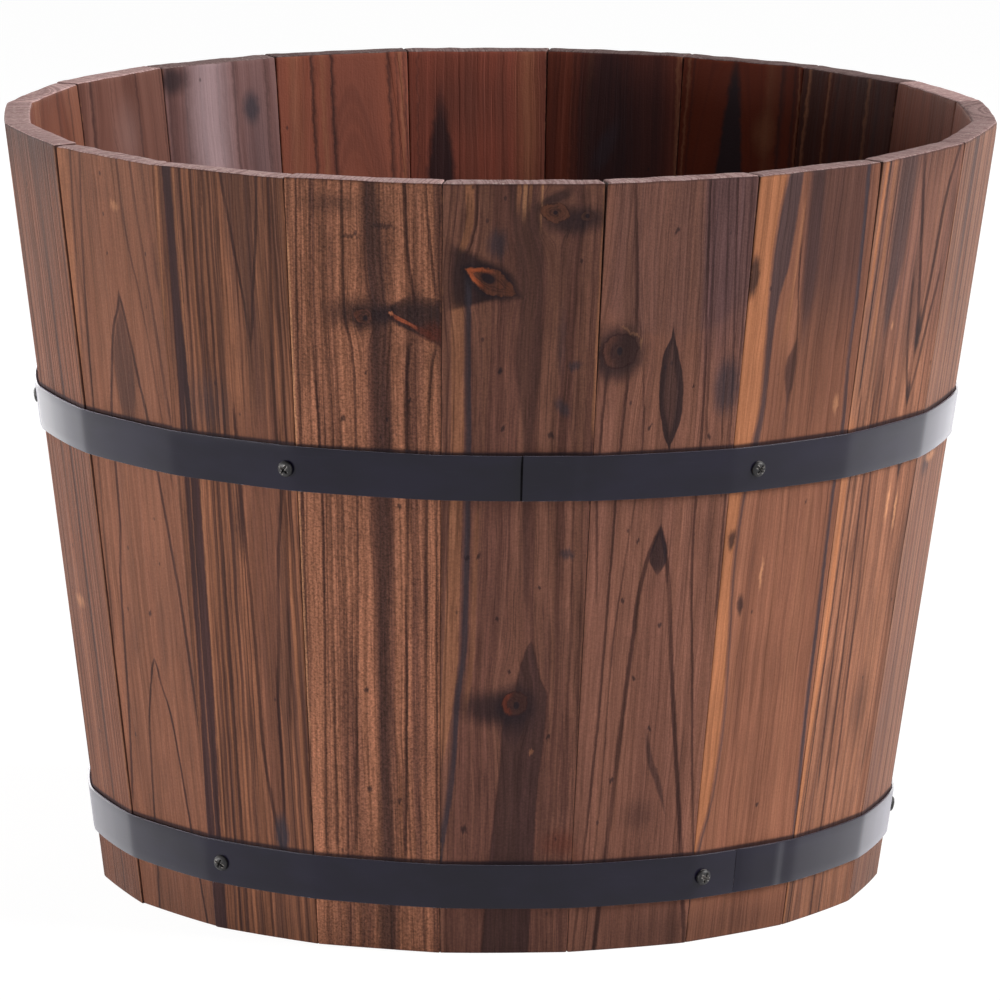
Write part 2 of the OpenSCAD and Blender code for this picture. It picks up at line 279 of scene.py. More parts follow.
# The outsides that the main view shows
STAVE_LOOKS = {
    1: Stave(
        mid=srgb(112, 77, 69), light=srgb(140, 99, 84), stripes=0.35, rings=0.2, broad=0.6,
        grain=1.3, nap=0.75,
        lines=straight((-29.5, 0.6, 0.6), (-27, 0.5, 0.6), (-12, 0.5, 0.3), (14, 0.5, 0.4),
                       (20, 0.6, 0.5), (24, 0.7, 0.5), (28, 0.6, 0.5), (31, 0.8, 0.6)),
        strokes=[
            Stroke(((306, -22.6), (260, -21.6), (232, -20.7), (143, -20.1), (116, -22.5),
                    (79, -24.2), (47, -28.2), (0, -33)), 1.5, SLATE, 0.85),
            Stroke(((200, -16.4), (140, -16.6), (110, -19)), 1.3, LIGHT, 0.45),
            Stroke(((345, -20.2), (331, -19.9), (320, -21.6), (312, -24)), 0.6, DARK, 0.8),
            Stroke(((345, 7.6), (326, 7.2)), 0.5, PALE, 0.8),
            Stroke(((345, -2.2), (334, -2.4)), 0.9, LIGHT, 0.8),
            Stroke(((345, 0.4), (331, 0.2)), 0.9, PALE, 0.75),
            Stroke(((345, 2.8), (335, 2.4)), 0.8, LIGHT, 0.7),
            Stroke(((345, 34.0), (300, 33.2), (235, 32.0)), 0.7, LIGHT, 0.7),
        ],
        bands=[
            Band(((345, -25.8, -21.2), (331, -25, -20.8), (320, -26.4, -22.6), (312, -29, -26)),
                 LIGHT, 0.85, 0.7),
            Band(((296, -30.5, -24.2), (232, -28.8, -22.6), (140, -29.5, -22.5), (90, -31, -27)),
                 LIGHT, 0.7, 0.8),
            Band(((345, -9, 5), (315, -4.5, 9.9), (289, -2, 10), (267, -3.4, 10.6),
                  (250, -1.2, 9), (232, 1, 7.8), (200, 1.5, 7.5), (160, 3, 8)), SCORCH, 0.65, 2.5),
            Band(((319, -36, -27), (313, -36, -15), (307, -36, -6), (301, -36, 0),
                  (296, -36, -3), (292, -36, -14), (288, -36, -30)), CHAR, 0.9, 9.0),
            Band(((143, 8.6, 8.6), (139, 6.1, 9.8), (124, 2.2, 13.5), (117, 1.5, 16.1),
                  (102, -3.6, 15.5), (88, -4, 14.4), (70, -5.4, 13), (42, -7.7, 12.2),
                  (0, -10, 11)), srgb(60, 44, 46), 0.8, 0.9, 0.35, 0.7),
        ],
        patches=[
            Patch(12, 320, 26, 26, SCORCH, 0.3, 0.8),
            Patch(22, 328, 13, 5.5, CHAR, 0.8, 0.6, tilt=8),
            Patch(13, 338, 8, 2.2, CHAR, 0.7, 0.6, tilt=28),
            Patch(-11, 318, 4, 6, SLATE, 0.7, 0.6),
            Patch(18.5, 247, 2.4, 4, SLATE, 0.7, 0.6, tilt=35),
            Patch(23.4, 265, 2.6, 2, SLATE, 0.7, 0.6),
            Patch(17.5, 276, 1.4, 13, SLATE, 0.4, 0.8),
            Patch(22.6, 181, 2.6, 2.2, SLATE, 0.7, 0.6),
            Patch(-9, 112, 12, 7, CHAR, 0.8, 0.6, tilt=-4),
            Patch(1.5, 109, 9, 10, CHAR, 0.6, 0.6),
            Patch(9.6, 92, 0.8, 1.4, LIGHT, 0.5, 0.5),
            Patch(24, 50, 8, 5, RUST, 0.45, 0.8),
            *spots(CHAR, (-15.5, 180, 0.9), (-20.4, 180, 1), (-8.4, 263, 1.1), (-6.4, 237, 1),
                   (14.2, 234, 1.1), (-18.5, 57, 1.4), (-6.6, 152, 0.8), (25, 311, 0.8),
                   (-1, 128, 0.7), (17, 98, 0.8), (11, 166, 0.7)),
        ],
        knots=[
            Knot(-13.2, 301.6, 12.4, 5.4, -27, srgb(164, 88, 58), srgb(98, 62, 50), -0.15, 0.26, 1.3,
                 0.9, 0.3, pointed=True),
            Knot(13.2, 331.8, 6.4, 4.4, -8, srgb(104, 68, 54), srgb(94, 62, 52), 0.0, 0.16, 1.2, 0.3),
            Knot(26.8, 330.2, 3, 2.2, 0, srgb(80, 56, 50), SCORCH, 0.0, 0.3, 1.2, 0.3, 0.0),
            Knot(1.8, 114, 5.9, 5.9, 0, srgb(96, 50, 40), srgb(64, 42, 40), 0.14, 0.22, 1.5, 0.6),
        ],
        recess=0.1, drop=0.1, gap_right=0.9, gap_from=235),
    2: Stave(
        mid=srgb(132, 92, 80), light=srgb(146, 102, 86), stripes=0.16, rings=0.12, broad=0.4,
        nap=0.6, wobble=1.6, grain=0.85,
        strokes=[
            Stroke(((345, -22.4), (293, -17.7), (280, -17)), 0.9),
            Stroke(((345, 11.4), (291, 14.4), (229, 16.8), (200, 16.4), (112, 22), (0, 32)), 0.7),
            Stroke(((345, 13.8), (291, 16.6), (229, 18.8)), 0.8, DARK, 0.65),
            Stroke(((340, 20.5), (290, 23.3), (228, 26.5)), 0.5, DARK, 0.55),
            Stroke(((343, 24.4), (290, 27.4), (228, 30.2), (150, 30)), 0.6, DARK, 0.65),
            Stroke(((345, 31), (230, 32.4), (150, 30.5)), 0.5, DARK, 0.5),
            Stroke(((262, -28.9), (227, -29.5), (160, -26)), 0.7),
            Stroke(((260, -19.0), (227, -20.3), (160, -20.7), (115, -20.9), (70, -22.2), (0, -25)),
                   0.7),
            Stroke(((264, -12.5), (226, -10.2), (204, -11.7), (177, -14.2), (137, -17.1),
                    (69, -17.5), (0, -20)), 0.5, DARK, 0.65),
            Stroke(((330, -5.5), (260, -6.5)), 0.4, DARK, 0.4),
        ],
        bands=[
            Band(((350, -36, 36), (300, -36, 36), (284, -30, 30), (276, -10, 12)), SLATE, 0.25, 9.0),
            # painted sheen: a soft violet-grey band over the upper right of the face
            Band(((350, 6, 40), (268, 10, 40)), srgb(84, 68, 80), 0.5, 7.0, fade=28.0),
            Band(((193, 1.2, 1.2), (181, -3.9, 4.6), (163, -7.6, 8), (141, -9.1, 10.3),
                  (114, -10.7, 13.6), (78, -12.6, 18.3), (51, -13.8, 21.9), (0, -16.5, 28)),
                 srgb(104, 70, 62), 0.35, 6.0, 0.85, 1.6),
            Band(((194, 1.2, 1.2), (186, -1.6, 3.4), (178, -3.6, 5.4), (173, -2, 4), (169, 1, 1)),
                 CHAR, 0.85, 1.0),
            Band(((283, -0.2, -0.2), (275, -1.4, 1.2), (268, -4.3, 3.4), (255, -5, 6.6),
                  (245, -4.4, 7.2), (238, -2.8, 6.6), (232, -1.3, 4.6), (226, 1.2, 2.6),
                  (222, 1.8, 1.8)), CHAR, 0.9, 0.7),
            Band(((276, -0.6, 0.4), (264, -2.4, 2), (250, -3, 4.6), (238, -0.6, 3.8), (230, 1.4, 2.4)),
                 srgb(92, 66, 62), 0.75, 1.6),
            Band(((98, 0, 3), (86, 2, 6.4), (76, 6, 10.4), (60, 12.5, 14.2)), CHAR, 0.6, 1.6),
        ],
        patches=[
            Patch(26.5, 252, 6, 12, SLATE, 0.75, 0.5),
            Patch(0.3, 61, 6, 6, SCORCH, 0.5, 0.8),
            Patch(-25.5, 268, 10.5, 10.5, CHAR, 0.6, 0.45),
            Patch(-19, 278.5, 5, 0.6, PALE, 0.5, 0.5, tilt=-32),
            Patch(-14.5, 274, 0.6, 2.4, PALE, 0.35, 0.5),
            Patch(-31, 40, 6, 9, RUST, 0.45, 0.8),
            Patch(16, 6, 20, 8, SCORCH, 0.35, 0.8),
            *spots(CHAR, (-9, 186, 0.9), (-14, 160, 0.9), (4, 147, 0.9), (-6.5, 124, 0.9),
                   (-13, 78, 0.9), (-7.5, 236, 0.8), (11, 253, 0.6), (10, 213, 0.7), (-2, 322, 0.9),
                   (20, 230, 1), (3, 100, 0.8)),
        ],
        knots=[Knot(-24, 270.5, 8.6, 8.2, 0, srgb(84, 56, 50), srgb(60, 42, 42), 0.0, 0.16,
                    1.4, 0.7, 0.5)],
        recess=0.0, drop=0.1, gap_right=0.5, gap_from=250, thin=0.5),
    3: Stave(
        mid=srgb(136, 92, 75), light=srgb(148, 102, 82), stripes=0.14, rings=0.1, broad=0.5,
        wobble=2.4, nap=0.35, smoke=0.1, grain=0.35,
        lines=straight((33, 0.8, 0.5)),
        strokes=[
            Stroke(((350, 26.3), (310, 27.8), (284, 28.4), (262, 27.7), (226, 29.1), (203, 27.9),
                    (140, 27.4), (104, 27.1), (42, 28.7), (0, 29)), 1.2, SLATE, 0.85),
            Stroke(((350, 21), (284, 24), (226, 25), (140, 24)), 0.5, DARK, 0.35),
            Stroke(((330, -8.6), (301, -9.2), (272, -10)), 0.9, LIGHT, 0.7),
            Stroke(((312, -7.6), (300, -7.2), (274, -4.3), (262, -3.6)), 0.5, DARK, 0.8),
            Stroke(((180, -14), (140, -15), (90, -13)), 1.6, DARK, 0.25),
            Stroke(((200, 2), (150, 3)), 0.5, DARK, 0.3),
        ],
        bands=[
            Band(((350, -12, 34), (276, -10, 36)), srgb(76, 54, 54), 0.75, 10.0, fade=30.0),
            Band(((350, -9, 3), (300, -7, 5), (270, -4, 3)), srgb(60, 46, 50), 0.7, 4.0, fade=16.0),
            Band(((350, -36, -18.8), (324, -36, -22.5), (306, -36, -23.2), (271, -36, -21.9),
                  (244, -36, -20.8), (227, -36, -22.7), (204, -36, -24.8), (174, -36, -25.7),
                  (133, -36, -23.2), (101, -36, -21.5), (65, -36, -23.1), (43, -36, -27.3),
                  (0, -36, -31)), ORANGE, 0.8, 0.8),
            Band(((350, -18.8, -10), (323, -22.5, -11.4), (305, -23.2, -12.5), (288, -22.9, -16),
                  (271, -21.9, -16.8), (244, -20.8, -16.8), (226, -22.7, -18), (204, -24.8, -21.8),
                  (174, -25.7, -23.2), (133, -23.2, -20.8), (101, -21.5, -19.2),
                  (65, -23.1, -20.8), (43, -27.3, -24.6), (0, -31, -28)), SLATE, 0.78, 1.6),
            Band(((273, -3.4, -3.4), (266, -7, -2.5), (257, -9.8, -2), (250, -8.8, -2.5),
                  (243, -7.4, -3.8), (232, -6, -5)), CHAR, 0.8, 1.8),
        ],
        patches=[
            Patch(-32.5, 300, 3.2, 9, CHAR, 0.85, 0.4),
            Patch(-5.6, 232, 2, 9, SCORCH, 0.5, 0.7),
            Patch(-27.6, 183, 1.8, 4.4, CHAR, 0.85, 0.5),
            Patch(-18.7, 153, 1.7, 4.4, CHAR, 0.8, 0.5),
            Patch(-10, 275, 5, 12, LIGHT, 0.3, 0.8),
            Patch(14, 250, 26, 24, srgb(88, 60, 52), 0.35, 0.9),
            Patch(23, 238, 1.4, 4, PALE, 0.4, 0.6),
            Patch(-9, 166, 0.6, 6, PALE, 0.5, 0.6),
            Patch(-6, 6, 30, 9, SCORCH, 0.4, 0.8),
            *spots(CHAR, (12, 196, 0.7), (4, 60, 0.8)),
        ],
        recess=0.2, drop=0.3, gap_right=1.3, gap_from=300),
    4: Stave(
        mid=srgb(138, 95, 77), light=srgb(166, 117, 93), stripes=0.3, rings=0.3, broad=0.6,
        smoke=0.45, grain=0.4,
        lines=straight((-19.5, 0.5, 0.6), (-17, 0.5, 0.5), (-25.8, 0.5, 0.6), (31.5, 0.5, 0.4)),
        strokes=[
            Stroke(((345, -31.2), (305, -31), (283, -30.6)), 1.3, ORANGE, 0.75),
            Stroke(((345, -28.7), (240, -27.6)), 0.8, CHAR, 0.9),
            Stroke(((345, -24.4), (304, -24), (262, -23)), 1.5, LIGHT, 0.8),
            Stroke(((345, -21.6), (250, -20.8), (202, -20.4), (137, -18.4), (64, -15)), 0.7),
            Stroke(((228, -30), (166, -27.8), (130, -27), (94, -28), (0, -28.6)), 2.6, ORANGE, 0.85),
            Stroke(((240, -25.4), (160, -24.4), (0, -24)), 0.6),
            Stroke(((240, -15), (202, -14.1), (145, -11), (64, -8), (0, -6)), 0.8),
            Stroke(((250, -9.6), (204, -8.6), (163, -5.5), (98, -2.5), (0, 1)), 0.9),
            Stroke(((262, -4), (215, -3.2)), 0.5, DARK, 0.5),
            Stroke(((300, 28), (230, 26), (140, 24), (60, 22)), 0.5, DARK, 0.5),
        ],
        bands=[
            Band(((350, -36, 36), (262, -36, 36)), srgb(88, 70, 76), 0.4, 4.0, fade=34.0),
            Band(((350, -22, -5), (304, -20.8, -5), (285, -19, -8), (262, -16, -13)),
                 srgb(72, 60, 64), 0.7, 3.0),
            Band(((350, -3.5, 33), (341, -2.2, 30.5), (320, 2, 24.5), (294, 7.5, 22.3),
                  (271, 12, 19.6), (257, 14.4, 17), (251, 15.6, 15.6)), MID, 0.2, 3.0, 0.9, 2.0),
            Band(((290, 3, 30), (262, 6, 23.4), (242, 10.5, 19.3), (232, 13.4, 16),
                  (228, 14.8, 14.8)), MID, 0.1, 3.0, 0.8, 1.6),
        ],
        patches=[
            Patch(15.4, 262, 2.6, 9, CHAR, 0.75, 0.5),
            Patch(14.8, 236, 1.6, 5, CHAR, 0.7, 0.5),
            Patch(16.5, 205, 2.2, 9, CHAR, 0.75, 0.4, taper=0.6),
            Patch(10, 186, 1.0, 7, PALE, 0.6, 0.6),
            Patch(18, 181, 0.9, 8, PALE, 0.6, 0.6),
            Patch(-8.6, 268, 0.8, 1.6, PALE, 0.5, 0.6),
            Patch(11, 93, 6, 14, SCORCH, 0.5, 0.9),
            Patch(7, 345, 16, 12, SCORCH, 0.35, 0.9),
        ],
        glint_left=0.12, recess=0.1, drop=0.1),
    5: Stave(
        mid=srgb(128, 92, 80), light=srgb(152, 112, 94), stripes=0.4, rings=0.4, grain=0.45, recess=0.0,
        drop=0.0,
        lines=straight((-31, 1.2, 0.7), (-26, 0.6, 0.6), (-21, 0.9, 0.6), (-15, 0.7, 0.6),
                       (-9, 1.2, 0.5), (2, 1.6, 0.6), (14, 1.2, 0.5)),
        bands=[Band(((350, -17, -6), (300, -15, -7), (250, -14, -10)), SLATE, 0.6, 3.0)],
        patches=[Patch(-14, 198, 6, 5, SLATE, 0.6, 0.7), Patch(-7, 200, 8, 2, PALE, 0.5, 0.7)]),
    16: Stave(
        mid=srgb(136, 96, 85), light=srgb(156, 114, 99), stripes=0.5, recess=0.0, drop=0.2,
        thin=0.3, smoke=0.5,
        lines=straight((-20, 1.2, 0.5), (-8, 1.2, 0.4), (4, 1.4, 0.5), (12, 0.6, 0.6),
                       (18, 0.9, 0.6), (24, 0.6, 0.6), (29, 0.8, 0.6)),
        bands=[Band(((350, -50, 50), (330, -50, 50)), srgb(66, 50, 56), 0.65, 6.0, fade=16.0)]),
    17: Stave(
        mid=srgb(115, 76, 61), light=srgb(140, 94, 75), stripes=0.45, wobble=1.2, period=2.8,
        smoke=0.1, grain=0.55, nap=0.7,
        lines=straight((-28, 0.8, 0.5), (-22, 0.7, 0.5), (-14, 0.8, 0.5), (-7, 0.6, 0.45),
                       (6, 1.6, 0.6), (11, 0.5, 0.5), (15, 0.6, 0.6), (18.5, 0.5, 0.6),
                       (22, 0.5, 0.6), (26, 0.6, 0.5), (30, 0.8, 0.6)),
        bands=[Band(((350, -50, 50), (328, -50, 50)), srgb(72, 58, 60), 0.6, 6.0, fade=20.0)],
        patches=[Patch(6.2, 150, 1.6, 140, CHAR, 0.5, 0.5),
                 Patch(-8, 132, 5.5, 2.6, PALE, 0.35, 0.7)],
        glint_right=0.12, recess=0.1, drop=0.1, gap_right=0.3, gap_from=0),
    18: Stave(
        mid=srgb(130, 88, 71), light=srgb(138, 95, 77), wobble=1.8, stripes=0.1, rings=0.08,
        broad=0.6, nap=0.55, smoke=0.35, grain=0.6,
        strokes=[
            Stroke(((346, -15.6), (299, -21.3), (254, -24.6), (208, -26.5), (120, -29)), 0.9),
            Stroke(((347, 10.8), (312, 12.5), (282, 18.5), (232, 24.9), (200, 28)), 0.7,
                   DARK, 0.5),
            Stroke(((347, 20.4), (318, 22.1), (283, 25.9), (250, 29), (228, 31)), 1.0),
            Stroke(((346, -23), (299, -27), (254, -29.5)), 0.8, DARK, 0.55),
            Stroke(((347, 28), (310, 30), (290, 31.5)), 1.5, DARK, 0.5),
        ],
        bands=[
            Band(((285, 2.8, 2.8), (276, 0.2, 5.8), (270, -3.3, 7), (258, -6.8, 9.5),
                  (245, -9.5, 12), (231, -12.1, 15.2), (207, -13.7, 18.6), (179, -15, 22.3),
                  (149, -19.4, 26.1), (118, -21.6, 28.3), (95, -23.2, 30), (48, -28.3, 33)),
                 MID, 0.12, 4.0, 0.85, 1.4),
            Band(((350, -36, -24), (299, -36, -28), (254, -36, -30.5), (200, -36, -32)),
                 srgb(164, 112, 84), 0.55, 1.2, fade=20.0),
            Band(((285, 2.8, 2.8), (276, 0.4, 5.6), (266, -4, 7.6), (250, -7.6, 9.8),
                  (238, -7, 9), (222, -4, 6)), srgb(84, 58, 52), 0.85, 3.0, fade=14.0),
            Band(((119, 1.5, 1.5), (115, -0.8, 3.8), (108, -3, 5.4), (96, -6, 10),
                  (89, -7.7, 11.4), (70, -9.4, 14), (44, -11.5, 16.8), (0, -15, 22)),
                 MID, 0.25, 3.0, 0.9, 1.1),
        ],
        patches=[Patch(6, 322, 2.6, 2, PALE, 0.4, 0.7),
                 *spots(CHAR, (2.2, 139, 1.1), (-3, 300, 0.6))],
        recess=0.9, drop=0.8, thin=0.3),
    19: Stave(
        mid=srgb(110, 75, 62), light=srgb(158, 107, 82), stripes=0.6, broad=0.6, wobble=1.0,
        period=2.6, rings=0.5,
        lines=straight((-15.6, 0.6, 0.7), (-12.8, 0.9, 0.75), (-6.2, 0.5, 0.6), (-3.4, 0.8, 0.7),
                       (-1, 0.5, 0.6), (28.5, 1.0, 0.7), (31, 0.5, 0.6)),
        lights=straight((-14.2, 0.5, 0.5), (-11, 0.5, 0.5), (-4.8, 0.5, 0.4), (26, 0.8, 0.4)),
        strokes=[
            Stroke(((345, -8), (286, -10.1), (231, -9.1), (0, -9)), 1.1, DARK, 0.8),
            Stroke(((345, -22.2), (285, -21.7), (228, -20.4)), 0.5, LIGHT, 0.8),
            Stroke(((240, -24), (141, -24.2), (41, -23.6)), 0.4, LIGHT, 0.5),
            Stroke(((207, -18.4), (128, -18.4), (42, -18.6)), 0.5, LIGHT, 0.7),
            Stroke(((345, -31), (306, -32.1), (275, -32.2)), 0.7, LIGHT, 0.8),
            Stroke(((345, 27.2), (290, 25.1), (234, 23.1), (205, 25.5), (100, 21)), 1.1),
        ],
        bands=[
            Band(((350, -29, -23), (285, -28, -22.4), (228, -28, -19), (132, -27.7, -18.6),
                  (41, -29.2, -20), (0, -30, -20)), srgb(54, 38, 44), 0.9, 1.2),
            Band(((350, 1, 22.5), (314, 6.2, 19.3), (288, 10, 15.9), (275, 11.4, 14.6),
                  (267, 12.6, 12.6)), srgb(84, 58, 52), 0.6, 3.0, 0.85, 1.1),
            Band(((240, 1.2, 27), (203, 1.9, 24.6), (172, 3.2, 20.6), (138, 4.2, 18.5),
                  (110, 4.6, 16), (90, 4.8, 15.8), (54, 9, 15), (43, 11.3, 14.4),
                  (37, 12.8, 12.8)), srgb(120, 80, 66), 0.5, 3.0, 0.85, 1.3),
        ],
        patches=[Patch(12.8, 48, 3.4, 9, SLATE, 0.85, 0.5),
                 Patch(-12, 240, 9, 12, SLATE, 0.4, 0.9),
                 Patch(1, 190, 2, 14, CHAR, 0.5, 0.7)],
        recess=0.0, drop=0.6, thin=0.4),
    20: Stave(
        mid=srgb(116, 79, 68), light=srgb(178, 123, 98), stripes=0.4, broad=0.9, wobble=1.6,
        period=3.4, rings=0.4, nap=1.9, smoke=0.3, grain=1.2,
        lines=straight((-33, 0.5, 0.6), (32.8, 0.7, 0.6)),
        strokes=[
            Stroke(((344, -29.3), (291, -30.1), (200, -29.3), (0, -29)), 0.6),
            Stroke(((318, -33.6), (240, -32), (96, -28.9)), 0.6, PALE, 0.6),
            Stroke(((344, -23.1), (291, -23.9), (229, -21.2), (200, -20.5), (44, -22.4)), 0.7),
            Stroke(((344, -16.1), (291, -17.7), (229, -15.4), (203, -16.9), (44, -17.4)), 0.9),
            Stroke(((343, -9.1), (300, -9.1), (283, -8.5), (272, -6.1), (248, -4.8), (203, -4.9),
                    (45, -8.8)), 0.8),
            Stroke(((345, 18.6), (315, 19.4), (290, 22.4)), 0.9, DARK, 0.85),
            Stroke(((345, 27.4), (311, 29.9), (292, 32)), 0.8),
            Stroke(((276, 20.6), (268, 19), (258, 18), (203, 17.4), (42, 13.4)), 0.9, DARK, 0.85),
            Stroke(((276, 31.6), (262, 29), (230, 26.7), (203, 25.9), (42, 22.4)), 0.8),
            Stroke(((283, 11.4), (257, 9.5), (231, 8.1)), 0.5, DARK, 0.5),
            Stroke(((210, 30.3), (43, 27.4)), 0.5, DARK, 0.7),
            Stroke(((240, -18.6), (140, -19.4), (60, -19.8)), 0.4, DARK, 0.5),
            Stroke(((240, -11.6), (140, -11), (44, -12.6)), 0.6, DARK, 0.6),
        ],
        bands=[
            Band(((345, -2, 8), (292, 0, 12), (230, 1.5, 12.6), (204, 1.4, 12), (114, 0.6, 10.5),
                  (0, -2, 10)), SCORCH, 0.8, 4.0),
            Band(((295, 18, 26), (292, 12, 36), (287, 8, 36), (283, 11, 36), (279, 19, 36),
                  (275, 27, 36), (272, 33, 36)), CHAR, 0.9, 4.0),
            Band(((287.5, 10.8, 11.6), (285.6, 10.8, 15.4), (283.4, 14, 20.6), (281.2, 18.5, 26),
                  (278.6, 23, 31), (275.6, 28, 33)), srgb(98, 52, 43), 0.75, 2.4, fade=1.0),
            Band(((287, 11.4, 12.6), (285.2, 12.2, 16), (283.4, 15.4, 20), (281.8, 19.4, 22.6),
                  (280.6, 21.6, 24)), srgb(176, 96, 68), 0.75, 1.0, fade=1.0),
        ],
        patches=[
            Patch(-4, 286, 12, 6.5, CHAR, 0.75, 0.7),
            Patch(9, 286.5, 4.5, 4, CHAR, 0.8, 0.6),
            Patch(6, 322, 8, 24, SCORCH, 0.5, 0.8),
            Patch(-14, 334, 10, 4, SCORCH, 0.55, 0.8),
            Patch(11.6, 286.6, 1.2, 0.7, srgb(200, 128, 96), 0.7, 0.5, tilt=-30),
            Patch(30, 279, 5, 4, RUST, 0.5, 0.7),
            *spots(CHAR, (-10.4, 239, 1.1), (0.3, 260, 0.8), (-2.7, 118, 1), (-2.3, 73, 1.1),
                   (11.2, 69, 1), (13.8, 201, 0.9), (9, 240, 0.8), (19, 250, 0.8), (6, 232, 0.6)),
            Patch(-6, 320, 4, 0.9, CHAR, 0.6, 0.5),
            Patch(8.6, 325, 5, 1.2, CHAR, 0.6, 0.5),
        ],
        knots=[Knot(-0.6, 285, 4.2, 3.6, 0, srgb(96, 60, 50), srgb(84, 56, 50), 0.2, 0.24, 1.3, 0.4)],
        recess=0.0, drop=0.1),
}


# The inner faces that the main view shows
INSIDES = {
    # Painted shade: the inner faces of staves 8 to 10, on the right, are darker and redder than their
    # wood, for shade and light bounced inside the tub
    8: Inside(
        srgb(50, 19, 12), srgb(66, 28, 18),
        lines=((-20, 3, 0.7), (-6, 1.5, 0.6), (8, 2.5, 0.8), (20, 1.2, 0.6)),
        lights=((28, 1.4, 0.7), (14, 1, 0.5), (-13, 1.6, 0.4))),
    9: Inside(
        srgb(93, 41, 27), srgb(107, 49, 33),
        lines=((27, 0.9, 0.6), (-22, 2.2, 0.8), (-29, 1.4, 0.7)),
        lights=((29.5, 0.9, 0.6), (-15, 5, 0.25), (-31.5, 0.8, 0.6)),
        patches=(Patch(4, 268, 8.6, 78, CHAR, 0.97, 0.18, taper=-0.5),
                 Patch(-14, 312, 5, 8, PALE, 0.2, 0.8))),
    10: Inside(
        srgb(98, 51, 42), srgb(118, 63, 51),
        lines=((16, 0.9, 0.6), (-6, 0.8, 0.4), (-20, 0.7, 0.3), (19, 3, 0.5)),
        lights=((-31, 1.4, 0.6), (12, 2, 0.3)),
        patches=(Patch(4, 300, 13, 70, CHAR, 0.85, 0.5),
                 Patch(3, 300, 3.5, 12, SLATE, 0.5, 0.6, tilt=20),
                 Patch(-17, 306, 12, 50, CHAR, 0.75, 0.7),
                 Patch(-16, 262, 7, 9, LIGHT, 0.2, 0.9))),
    11: Inside(
        srgb(120, 69, 59), srgb(136, 76, 64),
        lines=((28, 0.7, 0.6), (-33, 1.2, 0.6), (-12, 0.5, 0.3)),
        lights=((-24, 3, 0.25),),
        patches=(Patch(17, 282, 7, 42, CHAR, 0.9, 0.3, taper=-0.5),
                 Patch(-24, 310, 5, 50, LIGHT, 0.3, 0.8),
                 Patch(6, 320, 20, 14, SCORCH, 0.3, 0.8))),
    12: Inside(
        srgb(127, 75, 63), srgb(140, 82, 66),
        lines=((15, 1.6, 0.9), (5, 1.7, 0.9), (-23, 1.8, 0.8), (-27, 0.8, 0.5), (-31, 0.8, 0.6)),
        lights=((10, 2, 0.4), (25, 5, 0.3), (-29, 1, 0.5))),
    13: Inside(
        srgb(106, 76, 75), srgb(128, 98, 99),
        lines=((20, 1, 0.5), (11, 1.0, 0.4), (1, 0.8, 0.5), (-8, 1.2, 0.5), (-26, 1.4, 0.4),
               (30, 2.5, 0.5)),
        # painted sheen: the pale violet patch at the top stands in for a reflection
        patches=(Patch(7, 320, 10, 70, srgb(186, 166, 176), 0.6, 0.8),
                 Patch(-17, 322, 4.2, 7, SLATE, 0.85, 0.6),
                 Patch(-20, 300, 6, 30, SLATE, 0.35, 0.8),
                 Patch(28, 338, 8, 6, CHAR, 0.8, 0.6))),
    14: Inside(
        srgb(99, 65, 58), srgb(118, 82, 74),
        lines=((24, 2.2, 0.8), (-12, 0.9, 0.7), (8, 0.7, 0.3), (-30, 1.2, 0.5)),
        # painted sheen: the pale patch at the top stands in for a reflection
        patches=(Patch(-2, 316, 8, 14, srgb(150, 122, 120), 0.35, 0.9),)),
    15: Inside(
        srgb(110, 68, 56), srgb(130, 86, 71),
        lines=((22, 0.7, 0.5), (-4, 3.0, 0.5), (-20, 1.4, 0.7))),
}


def plain_stave(number):
    """A stave that the main view doesn't show from outside, with its own grain."""
    rng = np.random.default_rng(500 + number)
    arched = number % 3 == 0
    shade = rng.uniform(-8, 10)
    look = Stave(
        mid=srgb(122 + shade, 84 + shade * 0.8, 69 + shade * 0.7),
        light=srgb(150 + shade, 105 + shade * 0.8, 82 + shade * 0.7),
        stripes=rng.uniform(0.2, 0.5), recess=0.1, drop=rng.uniform(0, 0.4),
        thin=rng.uniform(0, 0.6))
    if arched:
        look.centre = rng.uniform(-8, 8)
        look.depth = 14.0
        look.depth_rise = rng.uniform(0.04, 0.07)
        radius = 15.0
        while radius < 60:
            look.lines.append((radius, rng.uniform(0.7, 1.4), rng.uniform(0.4, 0.85)))
            radius += rng.uniform(3.5, 9)
    else:
        across = -32.0
        while across < 33:
            look.lines += straight((across, rng.uniform(0.5, 1.8), rng.uniform(0.35, 0.85)))
            across += rng.uniform(3, 8)
        look.lights = straight((rng.uniform(-25, 25), rng.uniform(1, 4), 0.5))
    if number % 4 == 2:
        u, v = rng.uniform(-15, 15), rng.uniform(70, 300)
        look.knots.append(Knot(u, v, 7, 5, rng.uniform(-15, 15)))
    look.inside = INSIDES.get(number) or Inside()
    return look


